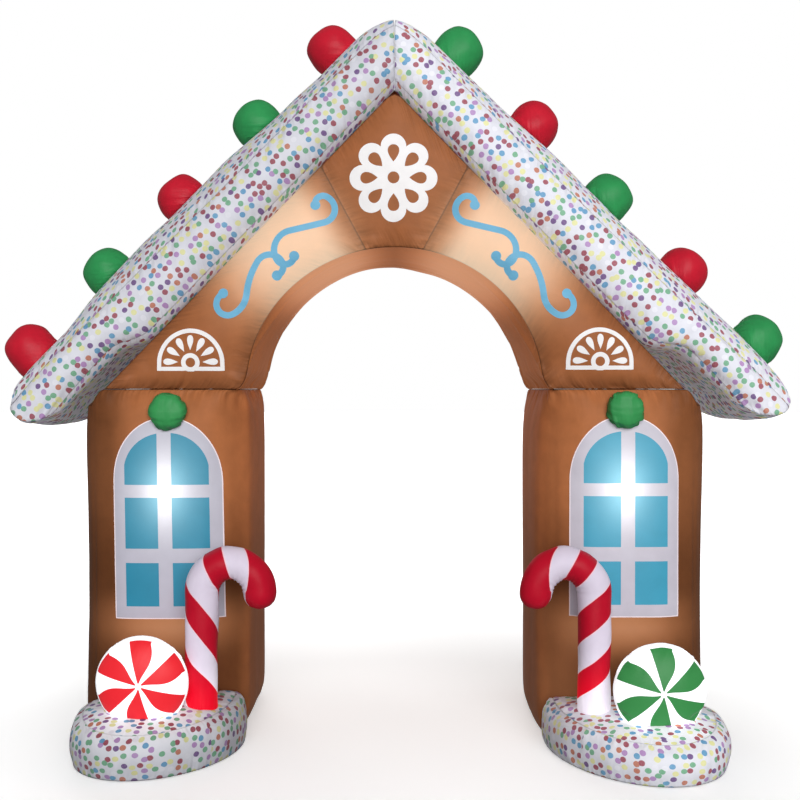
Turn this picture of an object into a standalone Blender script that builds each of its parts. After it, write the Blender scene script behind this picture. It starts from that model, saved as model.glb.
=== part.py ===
"""Inflatable gingerbread house arch, a walk-through yard decoration.

Every piece is an air-filled form of sewn cloth. A brown gable with a round arch stands on two box legs, under a
roof of two padded slabs that meet at the ridge. Gumdrops sit on the roof and over the windows, and an oval
cushion in front of each leg carries a peppermint disc and a candy cane.

Units are metres, +Z is up, the front faces -Y and the ground is Z = 0. Shapes are worked out about the middle of
the house, and the root empty then brings the middle of the footprint to the origin.
"""

import math

import bmesh
import bpy
from mathutils import Matrix, Vector

GAP = 0.0003  # clear space between two pieces that touch
CUT_GROWTH = 0.0005  # how far a piece is swelled before it is cut out of its neighbour

# Brown house: gable and legs
BODY_DEPTH = 0.76
LEG_INNER_X = 0.588
LEG_OUTER_X = 1.168
LEG_FRONT_SWELL = 0.034
LEG_SIDE_SWELL = 0.022
SEAM_HEIGHT = 1.337  # seam between the legs and the gable
ARCH_HALF_WIDTH = 0.566
ARCH_RISE = 0.542
TUNNEL_SWELL = 0.014
SIDE_PANEL_SWELL = 0.055
KITE_PANEL_SWELL = 0.034
KITE_OUTER_ANGLE = math.radians(71.7)  # seam of the centre panel at the roof, seen from the arch centre
KITE_INNER_ANGLE = math.radians(78.9)  # the same seam at the arch

# Cloth drawn in beside a seam: how deep, and how far along the cloth it reaches
SEAM_DRAW = {"depth": 0.030, "reach": 0.055}
GROUND_DRAW = {"depth": 0.045, "reach": 0.100}
LEG_FOLD = {"height": 0.450, "depth": 0.010, "half_width": 0.018}  # crease across the leg's front

# Roof slabs: sloping planes, each Z = apex - slope * X
ROOF_UNDER = {"apex": 2.479, "slope": 1.030, "end_x": 1.220}
ROOF_TOP = {"apex": 2.780, "slope": 0.994, "end_x": 1.430}
ROOF_DEPTH = 0.88
ROOF_TOP_SWELL = 0.068
ROOF_FACE_SWELL = 0.038
EAVE_ROUND = 0.098
EAVE_SWELL = 0.030
RIDGE_DIP = {"depth": 0.060, "reach": 0.170}
RIDGE_TUCK = {"depth": 0.050, "reach": 0.070}
SCALLOP = 0.22  # share of the top's swell that comes and goes between gumdrops

# Roof gumdrops
GUMDROP_COUNT = 5
GUMDROP_FIRST = 0.214  # from the ridge, along the slope
GUMDROP_PITCH = 0.437
GUMDROP_RADIUS = 0.100
GUMDROP_HEIGHT = 0.168

# Windows
WINDOW_WIDTH = 0.413
WINDOW_HEIGHT = 0.763
WINDOW_ARCH = 0.250  # height of the round part
WINDOW_THICKNESS = 0.002
WINDOW_GUMDROP_RADIUS = 0.069
WINDOW_GUMDROP_HEIGHT = 0.062

# Candy canes
CANE_RADIUS = 0.0625
CANE_HOOK_RADIUS = 0.106
CANE_SPRING_HEIGHT = 0.597  # where the hook starts
CANE_FROM_LEG = 0.20

# Peppermint discs
MINT_RADIUS = 0.167
MINT_HALF_THICKNESS = 0.072

# Base cushions
BASE_CENTRE_FROM_LEG = 0.11
BASE_SKEW = 0.07  # how much further forward the outer end lies, and how much less the inner one
BASE_BACK = 0.06
BASE_FULLNESS = 1.20  # height at the leg, as a share of the profile's
BASE_FALL = 0.31  # share of the height lost from the leg to the front

# The two sides differ a little, as sewn and filled pieces do
SIDES = (
    {"name": "left", "sign": -1, "eave_stretch": 1.00, "window_x": 0.862, "window_bottom": 0.468,
     "cane_x": 0.704, "mint_x": 0.900, "mint_height": 0.286, "mint_from_leg": 0.300,
     "base_x": 0.864, "base_half_width": 0.324, "base_reach": 0.490, "base_scale": 1.00},
    {"name": "right", "sign": 1, "eave_stretch": 1.02, "window_x": 0.872, "window_bottom": 0.474,
     "cane_x": 0.728, "mint_x": 0.940, "mint_height": 0.262, "mint_from_leg": 0.325,
     "base_x": 0.884, "base_half_width": 0.340, "base_reach": 0.530, "base_scale": 0.93},
)

FRONT_Y = -BODY_DEPTH / 2


def srgb(red, green, blue):
    """Linear colour from 0-255 display values."""
    linear = []
    for value in (red, green, blue):
        share = value / 255
        linear.append(share / 12.92 if share <= 0.04045 else ((share + 0.055) / 1.055) ** 2.4)
    return (*linear, 1.0)


MATERIALS = {
    "gingerbread_cloth": {"color": srgb(160, 96, 58), "roughness": 0.45},
    "sprinkle_cloth": {"color": srgb(226, 226, 236), "roughness": 0.45},
    "red_cloth": {"color": srgb(190, 28, 48), "roughness": 0.40},
    "green_cloth": {"color": srgb(48, 140, 78), "roughness": 0.40},
    "window_cloth": {"color": srgb(150, 200, 215), "roughness": 0.50},
    "candy_cloth": {"color": srgb(214, 90, 110), "roughness": 0.40},
    "mint_red_cloth": {"color": srgb(240, 200, 200), "roughness": 0.45},
    "mint_green_cloth": {"color": srgb(205, 232, 212), "roughness": 0.45},
}


def make_material(name):
    material = bpy.data.materials.new(name)
    material.use_nodes = True
    shader = material.node_tree.nodes["Principled BSDF"]
    shader.inputs["Base Color"].default_value = MATERIALS[name]["color"]
    shader.inputs["Roughness"].default_value = MATERIALS[name]["roughness"]
    shader.inputs["Metallic"].default_value = 0.0
    material.diffuse_color = MATERIALS[name]["color"]
    return material


# Shape helpers

def drawn_in(distance, depth, reach):
    """How far cloth is drawn in at a distance from its seam: a quarter ellipse, depth at the seam."""
    nearness = min(1.0, max(0.0, 1.0 - distance / reach))
    return depth * (1.0 - math.sqrt(1.0 - nearness * nearness))


def pillow(across, power=2.4):
    """Rise of a filled panel across its width, 0 at the seams (across = -1 and 1) and 1 midway."""
    return 1.0 - min(1.0, abs(across)) ** power


def cut_box(x_cuts, y_cuts, z_cuts):
    """A box from -1 to 1 on each axis, with edge loops at the given places."""
    box = bmesh.new()
    bmesh.ops.create_cube(box, size=2.0)
    for axis, cuts in enumerate((x_cuts, y_cuts, z_cuts)):
        normal = Vector((0.0, 0.0, 0.0))
        normal[axis] = 1.0
        for cut in cuts:
            everything = box.verts[:] + box.edges[:] + box.faces[:]
            bmesh.ops.bisect_plane(box, geom=everything, plane_co=normal * cut, plane_no=normal)
    return box


def even_cuts(count):
    """Places that divide -1 to 1 into count equal parts."""
    return [2 * step / count - 1 for step in range(1, count)]


def turned(profile, segments):
    """A closed form turned about Z from (radius, height) rows, bottom row first."""
    form = bmesh.new()
    rim = [form.verts.new((radius, 0.0, height)) for radius, height in profile]
    outline = [form.edges.new(pair) for pair in zip(rim, rim[1:])]
    bmesh.ops.spin(form, geom=rim + outline, cent=(0, 0, 0), axis=(0, 0, 1), dvec=(0, 0, 0),
                   angle=math.tau, steps=segments, use_merge=True)
    bmesh.ops.remove_doubles(form, verts=form.verts, dist=0.00001)
    return form


def reshape(form, rule):
    """Move each point of a form to rule(point)."""
    for vert in form.verts:
        vert.co = rule(vert.co.copy())


def add_piece(name, form, material, collection, root):
    """Turn a bmesh into a named object of triangles with outward faces and smooth shading."""
    bmesh.ops.triangulate(form, faces=form.faces)
    bmesh.ops.recalc_face_normals(form, faces=form.faces)
    if form.calc_volume(signed=True) < 0.0:
        bmesh.ops.reverse_faces(form, faces=form.faces)
    mesh = bpy.data.meshes.new(name)
    form.to_mesh(mesh)
    form.free()
    mesh.materials.append(material)
    mesh.shade_smooth()
    mesh.set_sharp_from_angle(angle=math.radians(40))
    piece = bpy.data.objects.new(name, mesh)
    piece.parent = root
    collection.objects.link(piece)
    return piece


def add_cutter(name, mesh, cutters, root):
    """A shape that is only used to cut others."""
    cutter = bpy.data.objects.new(name, mesh)
    cutter.parent = root
    cutter.hide_render = True
    cutter.display_type = "WIRE"
    cutters.objects.link(cutter)
    return cutter


def swelled_cutter(source, growth, cutters, root):
    """A copy of a piece, swelled a little, that is taken out of what rests on it."""
    bpy.context.view_layer.update()
    seen = source.evaluated_get(bpy.context.evaluated_depsgraph_get())
    mesh = bpy.data.meshes.new_from_object(seen)
    normals = [vertex.normal.copy() for vertex in mesh.vertices]
    for vertex, normal in zip(mesh.vertices, normals):
        vertex.co += normal * growth
    return add_cutter(source.name + "_cutter", mesh, cutters, root)


def cut_away(piece, cutter):
    """Take the cutter out of a piece."""
    cut = piece.modifiers.new("Seat", "BOOLEAN")
    cut.operation = "DIFFERENCE"
    cut.solver = "EXACT"
    cut.object = cutter


# Gable

def arch_point(angle):
    """Point of the arch, in X and Z, at an angle from the left springing."""
    return Vector((-ARCH_HALF_WIDTH * math.cos(angle), 0.0, SEAM_HEIGHT + ARCH_RISE * math.sin(angle)))


def slope_point(angle):
    """Where a ray from the arch centre meets the underside of the roof, just short of it."""
    apex = ROOF_UNDER["apex"] - GAP * math.hypot(1.0, ROOF_UNDER["slope"]) - SEAM_HEIGHT
    reach = apex / (math.sin(angle) + ROOF_UNDER["slope"] * abs(math.cos(angle)))
    return Vector((-reach * math.cos(angle), 0.0, SEAM_HEIGHT + reach * math.sin(angle)))


def gable_angles(side_steps=12, kite_steps=4, crowding=1.35):
    """Rows of (outer angle, inner angle, place in its panel, panel swell) from the left seam to the right."""
    half = []
    for step in range(side_steps):
        share = (step / side_steps) ** crowding
        place = 2 * share - 1
        half.append((share * KITE_OUTER_ANGLE, share * KITE_INNER_ANGLE, place, SIDE_PANEL_SWELL))
    for step in range(kite_steps + 1):
        share = step / kite_steps
        outer = KITE_OUTER_ANGLE + share * (math.pi / 2 - KITE_OUTER_ANGLE)
        inner = KITE_INNER_ANGLE + share * (math.pi / 2 - KITE_INNER_ANGLE)
        half.append((outer, inner, share - 1, KITE_PANEL_SWELL))
    mirrored = [(math.pi - outer, math.pi - inner, place, swell) for outer, inner, place, swell in half[-2::-1]]
    return half + mirrored


def gable_ring(outer_angle, inner_angle, place, swell, tunnel_steps=4, face_steps=8):
    """One section of the gable: across the tunnel, out along the front, and back in along the rear."""
    inner = arch_point(inner_angle)
    outer = slope_point(outer_angle)
    radial = (inner - Vector((0.0, 0.0, SEAM_HEIGHT))).normalized()
    ring = []
    for step in range(tunnel_steps + 1):
        across = 1 - 2 * step / tunnel_steps
        point = inner - radial * TUNNEL_SWELL * pillow(across) * pillow(math.cos(inner_angle), 6)
        ring.append(Vector((point.x, across * BODY_DEPTH / 2, point.z)))
    for side in (-1, 1):
        face = []
        for step in range(1, face_steps + 1):
            share = step / face_steps
            point = inner.lerp(outer, share)
            rise = swell * pillow(2 * share - 1) * pillow(place, 3.0)
            face.append(Vector((point.x, side * (BODY_DEPTH / 2 + rise), point.z)))
        ring.extend(face if side == -1 else reversed(face))
    for point in ring:
        tuck = drawn_in(point.z - SEAM_HEIGHT, **SEAM_DRAW)
        point.y -= math.copysign(tuck, point.y) if abs(point.y) > 0.9 * BODY_DEPTH / 2 else 0.0
        if abs(point.x) < LEG_INNER_X:
            point.x += math.copysign(tuck, point.x)
        point.z += GAP / 2 if point.z < SEAM_HEIGHT + GAP else 0.0
    return ring


def make_gable(material, collection, root):
    form = bmesh.new()
    rings = [[form.verts.new(point) for point in gable_ring(*row)] for row in gable_angles()]
    for ring, following in zip(rings, rings[1:]):
        for place in range(len(ring)):
            beside = (place + 1) % len(ring)
            form.faces.new((ring[place], ring[beside], following[beside], following[place]))
    form.faces.new(rings[0])
    form.faces.new(rings[-1])
    return add_piece("gable", form, material, collection, root)


# Legs

def leg_rule(sign):
    half_width = (LEG_OUTER_X - LEG_INNER_X) / 2
    middle = (LEG_OUTER_X + LEG_INNER_X) / 2
    height = SEAM_HEIGHT - GAP / 2

    def rule(unit):
        z = (unit.z + 1) / 2 * height
        tuck = drawn_in(height - z, **SEAM_DRAW) + drawn_in(z, **GROUND_DRAW)
        lengthwise = pillow(unit.z, 8)
        x = unit.x * (half_width - tuck)
        y = unit.y * (BODY_DEPTH / 2 - tuck)
        if abs(unit.x) > 0.999:
            x += unit.x * LEG_SIDE_SWELL * pillow(unit.y) * lengthwise
        if abs(unit.y) > 0.999:
            fold = math.exp(-((z - LEG_FOLD["height"]) / LEG_FOLD["half_width"]) ** 2)
            swell = LEG_FRONT_SWELL * pillow(unit.x) * lengthwise - LEG_FOLD["depth"] * fold * pillow(unit.x, 8)
            y += unit.y * swell
        return Vector((sign * middle + x, y, z))

    return rule


def make_leg(side, material, collection, root):
    height = SEAM_HEIGHT
    near_ground = [GROUND_DRAW["reach"] * share for share in (0.12, 0.4, 1.0)]
    by_fold = [LEG_FOLD["height"] + LEG_FOLD["half_width"] * step for step in (-2, -1, 0, 1, 2)]
    plain = [0.22, 0.33, 0.62, 0.75, 0.88, 1.01, 1.13, 1.22]
    near_seam = [height - SEAM_DRAW["reach"] * share for share in (1.0, 0.4, 0.12)]
    rows = [2 * z / height - 1 for z in near_ground + by_fold + plain + near_seam]
    form = cut_box(even_cuts(6), even_cuts(6), rows)
    reshape(form, leg_rule(side["sign"]))
    slope = Vector((side["sign"] * ROOF_UNDER["slope"], 0.0, 1.0)).normalized()
    under_roof = Vector((0.0, 0.0, ROOF_UNDER["apex"])) - slope * GAP
    everything = form.verts[:] + form.edges[:] + form.faces[:]
    bmesh.ops.bisect_plane(form, geom=everything, plane_co=under_roof, plane_no=slope, clear_outer=True,
                           dist=0.00001)
    rim = [edge for edge in form.edges if edge.is_boundary]
    bmesh.ops.edgeloop_fill(form, edges=rim)
    return add_piece("leg_" + side["name"], form, material, collection, root)


# Roof

def roof_line(plane, share, side):
    """Point on one plane of a slab, taken at +X, a share of the way from the ridge to the eave."""
    x = plane["end_x"] * side["eave_stretch"] * share
    return Vector((x, 0.0, plane["apex"] - plane["slope"] * x))


def slope_length(side):
    """Length of a slab's top, from the ridge to the eave."""
    return ROOF_TOP["end_x"] * side["eave_stretch"] * math.hypot(1.0, ROOF_TOP["slope"])


def roof_point(along, across, up, side):
    """Point of a slab: along 0 to 1 from ridge to eave, across -1 to 1 from front to back, up 0 to 1."""
    under_end = roof_line(ROOF_UNDER, 1.0, side)
    top_end = roof_line(ROOF_TOP, 1.0, side)
    end_rise = top_end - under_end
    outward = Vector((end_rise.z, 0.0, -end_rise.x)).normalized()
    upward = Vector((ROOF_TOP["slope"], 0.0, 1.0)).normalized()
    point = roof_line(ROOF_UNDER, along, side).lerp(roof_line(ROOF_TOP, along, side), up)
    from_ridge = along * slope_length(side)

    near_eave = max(0.0, (along - 0.86) / 0.14) ** 2
    round_end = math.sqrt(max(0.0, 1.0 - (2 * up - 1) ** 2))
    point += outward * (EAVE_ROUND + EAVE_SWELL * pillow(across)) * round_end * near_eave

    dip = max(0.0, 1.0 - from_ridge / RIDGE_DIP["reach"]) ** 2
    point.z -= RIDGE_DIP["depth"] * dip * up
    if up > 0.999:
        wave = 1.0 - SCALLOP * math.cos(math.tau * (from_ridge - GUMDROP_FIRST) / GUMDROP_PITCH)
        ends = (1.0 - 0.5 * dip) * (1.0 - 0.45 * near_eave)
        point += upward * ROOF_TOP_SWELL * pillow(across, 2.0) * wave * ends

    y = across * ROOF_DEPTH / 2
    if abs(across) > 0.999:
        ends = (1.0 - dip) * (1.0 - near_eave)
        tuck = drawn_in(from_ridge, **RIDGE_TUCK) * (1.0 - 0.75 * up)
        y += across * (ROOF_FACE_SWELL * pillow(2 * up - 1) * ends - tuck)
    return Vector((side["sign"] * max(point.x, GAP / 2), y, point.z))


def make_roof(side, material, collection, root):
    length_cuts = [-0.985, -0.95] + even_cuts(22) + [0.955, 0.985]
    form = cut_box(length_cuts, [-0.85, -0.6, -0.3, 0.0, 0.3, 0.6, 0.85], [-0.8, -0.4, 0.0, 0.4, 0.8])
    reshape(form, lambda unit: roof_point((unit.x + 1) / 2, unit.y, (unit.z + 1) / 2, side))
    return add_piece("roof_" + side["name"], form, material, collection, root)


# Gumdrops

def gumdrop_profile(radius, height, root_depth):
    """Rows of a flat-topped dome whose root runs root_depth below its seat."""
    rows = ((0.80, None), (0.93, 0.08), (1.00, 0.36), (0.96, 0.62), (0.78, 0.85), (0.42, 0.975), (0.0, 1.0))
    profile = [(0.0, -root_depth)]
    for share, rise in rows:
        profile.append((radius * share, -root_depth if rise is None else height * rise))
    return profile


def make_roof_gumdrops(side, roof_cutter, materials, collection, root):
    outward = Vector((side["sign"] * ROOF_TOP["slope"], 0.0, 1.0)).normalized()
    stand = Vector((0.0, 0.0, 1.0)).rotation_difference(outward).to_matrix()
    first_is_red = side["name"] == "left"
    for place in range(GUMDROP_COUNT):
        along = (GUMDROP_FIRST + place * GUMDROP_PITCH) / slope_length(side)
        seat = roof_point(along, 0.0, 1.0, side)
        form = turned(gumdrop_profile(GUMDROP_RADIUS, GUMDROP_HEIGHT, 0.045), 14)
        reshape(form, lambda point: seat + stand @ point)
        colour = "red_cloth" if (place % 2 == 0) == first_is_red else "green_cloth"
        name = "gumdrop_{}_{}".format(side["name"], place + 1)
        cut_away(add_piece(name, form, materials[colour], collection, root), roof_cutter)


def make_window_gumdrop(side, leg_cutter, materials, collection, root):
    top = side["window_bottom"] + WINDOW_HEIGHT
    seat = Vector((side["sign"] * side["window_x"], FRONT_Y - LEG_FRONT_SWELL, top + 0.026))
    stand = Matrix.Rotation(math.radians(90), 3, "X")
    form = turned(gumdrop_profile(WINDOW_GUMDROP_RADIUS, WINDOW_GUMDROP_HEIGHT, 0.03), 16)
    reshape(form, lambda point: seat + stand @ point)
    name = "window_gumdrop_" + side["name"]
    cut_away(add_piece(name, form, materials["green_cloth"], collection, root), leg_cutter)


# Windows

def window_outline(side, cutters, root):
    """A round-topped prism that runs through the leg's front, to cut the window to its shape."""
    form = bmesh.new()
    spring = side["window_bottom"] + WINDOW_HEIGHT - WINDOW_ARCH
    outline = [(-WINDOW_WIDTH / 2, side["window_bottom"]), (WINDOW_WIDTH / 2, side["window_bottom"])]
    for step in range(13):
        turn = math.pi * step / 12
        outline.append((WINDOW_WIDTH / 2 * math.cos(turn), spring + WINDOW_ARCH * math.sin(turn)))
    middle = side["sign"] * side["window_x"]
    rim = [form.verts.new((middle + x, FRONT_Y - 0.2, z)) for x, z in outline]
    pushed = bmesh.ops.extrude_face_region(form, geom=[form.faces.new(rim)])
    far = [item for item in pushed["geom"] if isinstance(item, bmesh.types.BMVert)]
    bmesh.ops.translate(form, verts=far, vec=(0.0, 0.3, 0.0))
    bmesh.ops.recalc_face_normals(form, faces=form.faces)
    mesh = bpy.data.meshes.new("window_outline")
    form.to_mesh(mesh)
    form.free()
    return add_cutter("window_outline_" + side["name"], mesh, cutters, root)


def make_window(side, leg, material, collection, cutters, root):
    """A round-topped sheet that follows the leg's front."""
    form = bmesh.new()
    form.from_mesh(leg.data)
    lowest = side["window_bottom"] - 0.06
    behind = [face for face in form.faces
              if face.normal.y > -0.8 or max(vert.co.z for vert in face.verts) < lowest]
    bmesh.ops.delete(form, geom=behind, context="FACES")
    mesh = bpy.data.meshes.new("window_" + side["name"])
    form.to_mesh(mesh)
    form.free()
    mesh.materials.clear()
    mesh.materials.append(material)
    window = bpy.data.objects.new("window_" + side["name"], mesh)
    window.parent = root
    collection.objects.link(window)
    lift = window.modifiers.new("Clear of the leg", "DISPLACE")
    lift.mid_level = 0.0
    lift.strength = CUT_GROWTH + WINDOW_THICKNESS / 2
    sheet = window.modifiers.new("Cloth", "SOLIDIFY")
    sheet.thickness = WINDOW_THICKNESS
    sheet.offset = 0.0
    shape = window.modifiers.new("Outline", "BOOLEAN")
    shape.operation = "INTERSECT"
    shape.solver = "EXACT"
    shape.object = window_outline(side, cutters, root)


# Ground pieces

def base_rule(side):
    """Oval cushion, deep in front and shallow behind, higher where it meets the leg."""
    front = side["base_reach"] - BASE_CENTRE_FROM_LEG
    back = BASE_BACK + BASE_CENTRE_FROM_LEG

    def rule(unit):
        from_leg = BASE_CENTRE_FROM_LEG + BASE_SKEW * unit.x - unit.y * (front if unit.y < 0 else back)
        fall = BASE_FULLNESS - BASE_FALL * max(0.0, from_leg) / side["base_reach"]
        x = side["sign"] * (side["base_x"] + unit.x * side["base_half_width"])
        return Vector((x, FRONT_Y - from_leg, unit.z * fall * side["base_scale"]))

    return rule


def make_base(side, leg_cutter, material, collection, root):
    profile = [(0.0, 0.0), (0.5, 0.0), (0.89, 0.0), (0.955, 0.016), (0.99, 0.046), (1.0, 0.076), (0.988, 0.106),
               (0.95, 0.134), (0.87, 0.148), (0.66, 0.159), (0.34, 0.164), (0.0, 0.165)]
    form = turned(profile, 28)
    reshape(form, base_rule(side))
    base = add_piece("base_" + side["name"], form, material, collection, root)
    cut_away(base, leg_cutter)
    return base


def make_mint(side, base_cutter, material, collection, root):
    shares = (0.0, 0.3, 0.58, 0.8, 0.93, 0.985)
    front = [(share, (1.0 - share ** 2.3) ** 0.62) for share in shares]
    rows = [(share, -rise) for share, rise in front] + [(1.0, 0.0)] + front[::-1]
    profile = [(share * MINT_RADIUS, rise * MINT_HALF_THICKNESS) for share, rise in rows]
    form = turned(profile, 24)
    stand = Matrix.Rotation(math.radians(90), 3, "X")
    x = side["sign"] * side["mint_x"]
    middle = Vector((x, FRONT_Y - side["mint_from_leg"], side["mint_height"]))
    reshape(form, lambda point: middle + stand @ point)
    cut_away(add_piece("mint_" + side["name"], form, material, collection, root), base_cutter)


def cane_path(side):
    """Rows of (point, thickness share) up the post, round the hook and out to the blunt tip."""
    sign = side["sign"]
    post = Vector((sign * side["cane_x"], FRONT_Y - CANE_FROM_LEG, 0.0))
    rows = [(post + Vector((0.0, 0.0, z)), 1.0) for z in (0.12, 0.28, 0.44)]
    centre = post + Vector((-sign * CANE_HOOK_RADIUS, 0.0, CANE_SPRING_HEIGHT))
    for step in range(13):
        turn = math.pi * step / 12
        offset = Vector((sign * math.cos(turn), 0.0, math.sin(turn))) * CANE_HOOK_RADIUS
        rows.append((centre + offset, 1.03))
    tip = centre + Vector((-sign * CANE_HOOK_RADIUS, 0.0, 0.0))
    for share in (0.35, 0.62, 0.82, 0.95):
        rows.append((tip - Vector((0.0, 0.0, CANE_RADIUS * share)), math.sqrt(1.0 - share * share)))
    return rows


def make_cane(side, base_cutter, material, collection, root):
    """A tube swept along the cane's path, made a mesh so that its foot can be cut to the cushion."""
    curve = bpy.data.curves.new("cane_path", "CURVE")
    curve.dimensions = "3D"
    curve.bevel_depth = CANE_RADIUS
    curve.bevel_resolution = 4
    curve.use_fill_caps = True
    rows = cane_path(side)
    spline = curve.splines.new("POLY")
    spline.points.add(len(rows) - 1)
    for point, (place, thickness) in zip(spline.points, rows):
        point.co = (*place, 1.0)
        point.radius = thickness
    guide = bpy.data.objects.new("cane_path", curve)
    collection.objects.link(guide)
    bpy.context.view_layer.update()
    seen = guide.evaluated_get(bpy.context.evaluated_depsgraph_get())
    swept = bpy.data.meshes.new_from_object(seen)
    bpy.data.objects.remove(guide)
    form = bmesh.new()
    form.from_mesh(swept)
    bpy.data.meshes.remove(swept)
    bmesh.ops.remove_doubles(form, verts=form.verts, dist=0.00001)
    cut_away(add_piece("cane_" + side["name"], form, material, collection, root), base_cutter)


def centre_on_footprint(root, pieces):
    """Bring the middle of the footprint to the origin."""
    bpy.context.view_layer.update()
    seen_by = bpy.context.evaluated_depsgraph_get()
    points = []
    for piece in pieces:
        seen = piece.evaluated_get(seen_by)
        points.extend(seen.matrix_world @ vertex.co for vertex in seen.data.vertices)
    for axis in (0, 1):
        places = [point[axis] for point in points]
        root.location[axis] = -(min(places) + max(places)) / 2


def main():
    for leftover in list(bpy.data.objects):
        bpy.data.objects.remove(leftover)
    collection = bpy.data.collections.new("Inflatable arch")
    cutters = bpy.data.collections.new("Cutters")
    bpy.context.scene.collection.children.link(collection)
    bpy.context.scene.collection.children.link(cutters)
    root = bpy.data.objects.new("arch_root", None)
    collection.objects.link(root)
    materials = {name: make_material(name) for name in MATERIALS}

    make_gable(materials["gingerbread_cloth"], collection, root)
    for side in SIDES:
        leg = make_leg(side, materials["gingerbread_cloth"], collection, root)
        roof = make_roof(side, materials["sprinkle_cloth"], collection, root)
        make_window(side, leg, materials["window_cloth"], collection, cutters, root)
        leg_cutter = swelled_cutter(leg, CUT_GROWTH, cutters, root)
        over_window = swelled_cutter(leg, 2 * CUT_GROWTH + WINDOW_THICKNESS, cutters, root)
        roof_cutter = swelled_cutter(roof, CUT_GROWTH, cutters, root)
        make_roof_gumdrops(side, roof_cutter, materials, collection, root)
        make_window_gumdrop(side, over_window, materials, collection, root)
        base = make_base(side, leg_cutter, materials["sprinkle_cloth"], collection, root)
        base_cutter = swelled_cutter(base, CUT_GROWTH, cutters, root)
        mint_cloth = "mint_red_cloth" if side["name"] == "left" else "mint_green_cloth"
        make_mint(side, base_cutter, materials[mint_cloth], collection, root)
        make_cane(side, base_cutter, materials["candy_cloth"], collection, root)
    centre_on_footprint(root, [piece for piece in collection.objects if piece.type == "MESH"])


main()
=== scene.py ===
import bmesh
import bpy
import math
import time
import numpy as np
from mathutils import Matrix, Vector, noise
from mathutils.bvhtree import BVHTree


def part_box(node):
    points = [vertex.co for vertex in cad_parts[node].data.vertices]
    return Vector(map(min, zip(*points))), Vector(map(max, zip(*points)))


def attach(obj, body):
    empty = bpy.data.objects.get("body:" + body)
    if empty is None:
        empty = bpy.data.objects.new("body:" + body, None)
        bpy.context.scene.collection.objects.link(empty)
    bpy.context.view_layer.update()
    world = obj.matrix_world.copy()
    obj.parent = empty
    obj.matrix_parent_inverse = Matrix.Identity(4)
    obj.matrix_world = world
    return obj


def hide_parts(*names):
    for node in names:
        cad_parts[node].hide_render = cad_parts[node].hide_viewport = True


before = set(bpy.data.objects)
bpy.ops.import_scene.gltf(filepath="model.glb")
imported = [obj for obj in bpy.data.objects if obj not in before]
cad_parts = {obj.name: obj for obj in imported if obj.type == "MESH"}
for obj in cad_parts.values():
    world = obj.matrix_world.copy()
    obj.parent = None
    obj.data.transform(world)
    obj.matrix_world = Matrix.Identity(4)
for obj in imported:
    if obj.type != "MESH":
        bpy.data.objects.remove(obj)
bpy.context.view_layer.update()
bpy.ops.object.select_all(action="DESELECT")
started = time.time()

legBoxes = {"left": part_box("leg_left"), "right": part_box("leg_right")}
middleX = (legBoxes["left"][0].x + legBoxes["right"][1].x) / 2
middleY = (legBoxes["left"][0].y + legBoxes["left"][1].y) / 2
middle = Vector((middleX, middleY, 0.0))  # the house's own middle, from which its sizes run
bothSides = ("left", "right")
signOf = {"left": -1, "right": 1}  # the side's sign on X

house = {"depth": 0.76, "seamHeight": 1.337, "archHalf": 0.566, "archRise": 0.542,
         "legInner": 0.588, "legOuter": 1.168, "gap": 0.0012,
         "roofUnder": (2.479, 1.030, 1.220), "roofTop": (2.780, 0.994, 1.430)}  # apex, slope, end
frontY = -house["depth"] / 2


def report(words):
    print("[arch] %5.1f s  %s" % (time.time() - started, words))


def addCamera():
    view = {"away": 4.56, "height": 1.345, "lens": 53.775, "right": 5 / 800, "down": 13 / 800}
    data = bpy.data.cameras.new("frontCamera")
    camera = bpy.data.objects.new("frontCamera", data)
    bpy.context.scene.collection.objects.link(camera)
    camera.location = (0.0, middleY + frontY - view["away"], view["height"])
    camera.rotation_euler = (math.radians(90), 0, 0)
    data.lens = view["lens"]
    data.sensor_width = 36
    data.shift_x = view["right"]
    data.shift_y = -view["down"]
    data.clip_end = 200
    bpy.context.scene.camera = camera


addCamera()


# Rules that several pieces share

def drawnIn(distance, depth, reach):  # cloth pulled in beside a seam
    nearness = min(1.0, max(0.0, 1.0 - distance / reach))
    return depth * (1.0 - math.sqrt(1.0 - nearness * nearness))


def pillow(across, power=2.4):  # a filled panel's rise, nothing at its seams and 1 midway
    return 1.0 - min(1.0, abs(across)) ** power


def blend(low, high, value):
    share = min(1.0, max(0.0, (value - low) / (high - low)))
    return share * share * (3 - 2 * share)


def rounded(x, y, wide, deep, corner):  # a square section's point moved onto its round corners
    nearX = max(corner - wide, min(wide - corner, x))
    nearY = max(corner - deep, min(deep - corner, y))
    aside = Vector((x - nearX, y - nearY))
    if aside.length > 1e-9:
        aside = aside.normalized() * max(abs(aside.x), abs(aside.y))
    return nearX + aside.x, nearY + aside.y


def crowded(share, power):  # closer rows at both ends
    if share < 0.5:
        return 0.5 * (2 * share) ** power
    return 1 - 0.5 * (2 - 2 * share) ** power


def deselectAll():
    if bpy.context.mode != "OBJECT":
        bpy.ops.object.mode_set(mode="OBJECT")
    bpy.ops.object.select_all(action="DESELECT")


def coordsOf(mesh):
    flat = np.empty(len(mesh.vertices) * 3)
    mesh.vertices.foreach_get("co", flat)
    return flat.reshape(-1, 3)


def readValues(mesh, name):
    values = np.empty(len(mesh.vertices), dtype=np.float32)
    mesh.attributes[name].data.foreach_get("value", values)
    return values.astype(float)


def normalsOf(mesh):
    flat = np.empty(len(mesh.vertices) * 3, dtype=np.float32)
    mesh.vertex_normals.foreach_get("vector", flat)
    return flat.reshape(-1, 3).astype(float)


# Cloth: panels are cut, sewn into a piece, filled with air and given their puckers

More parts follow.
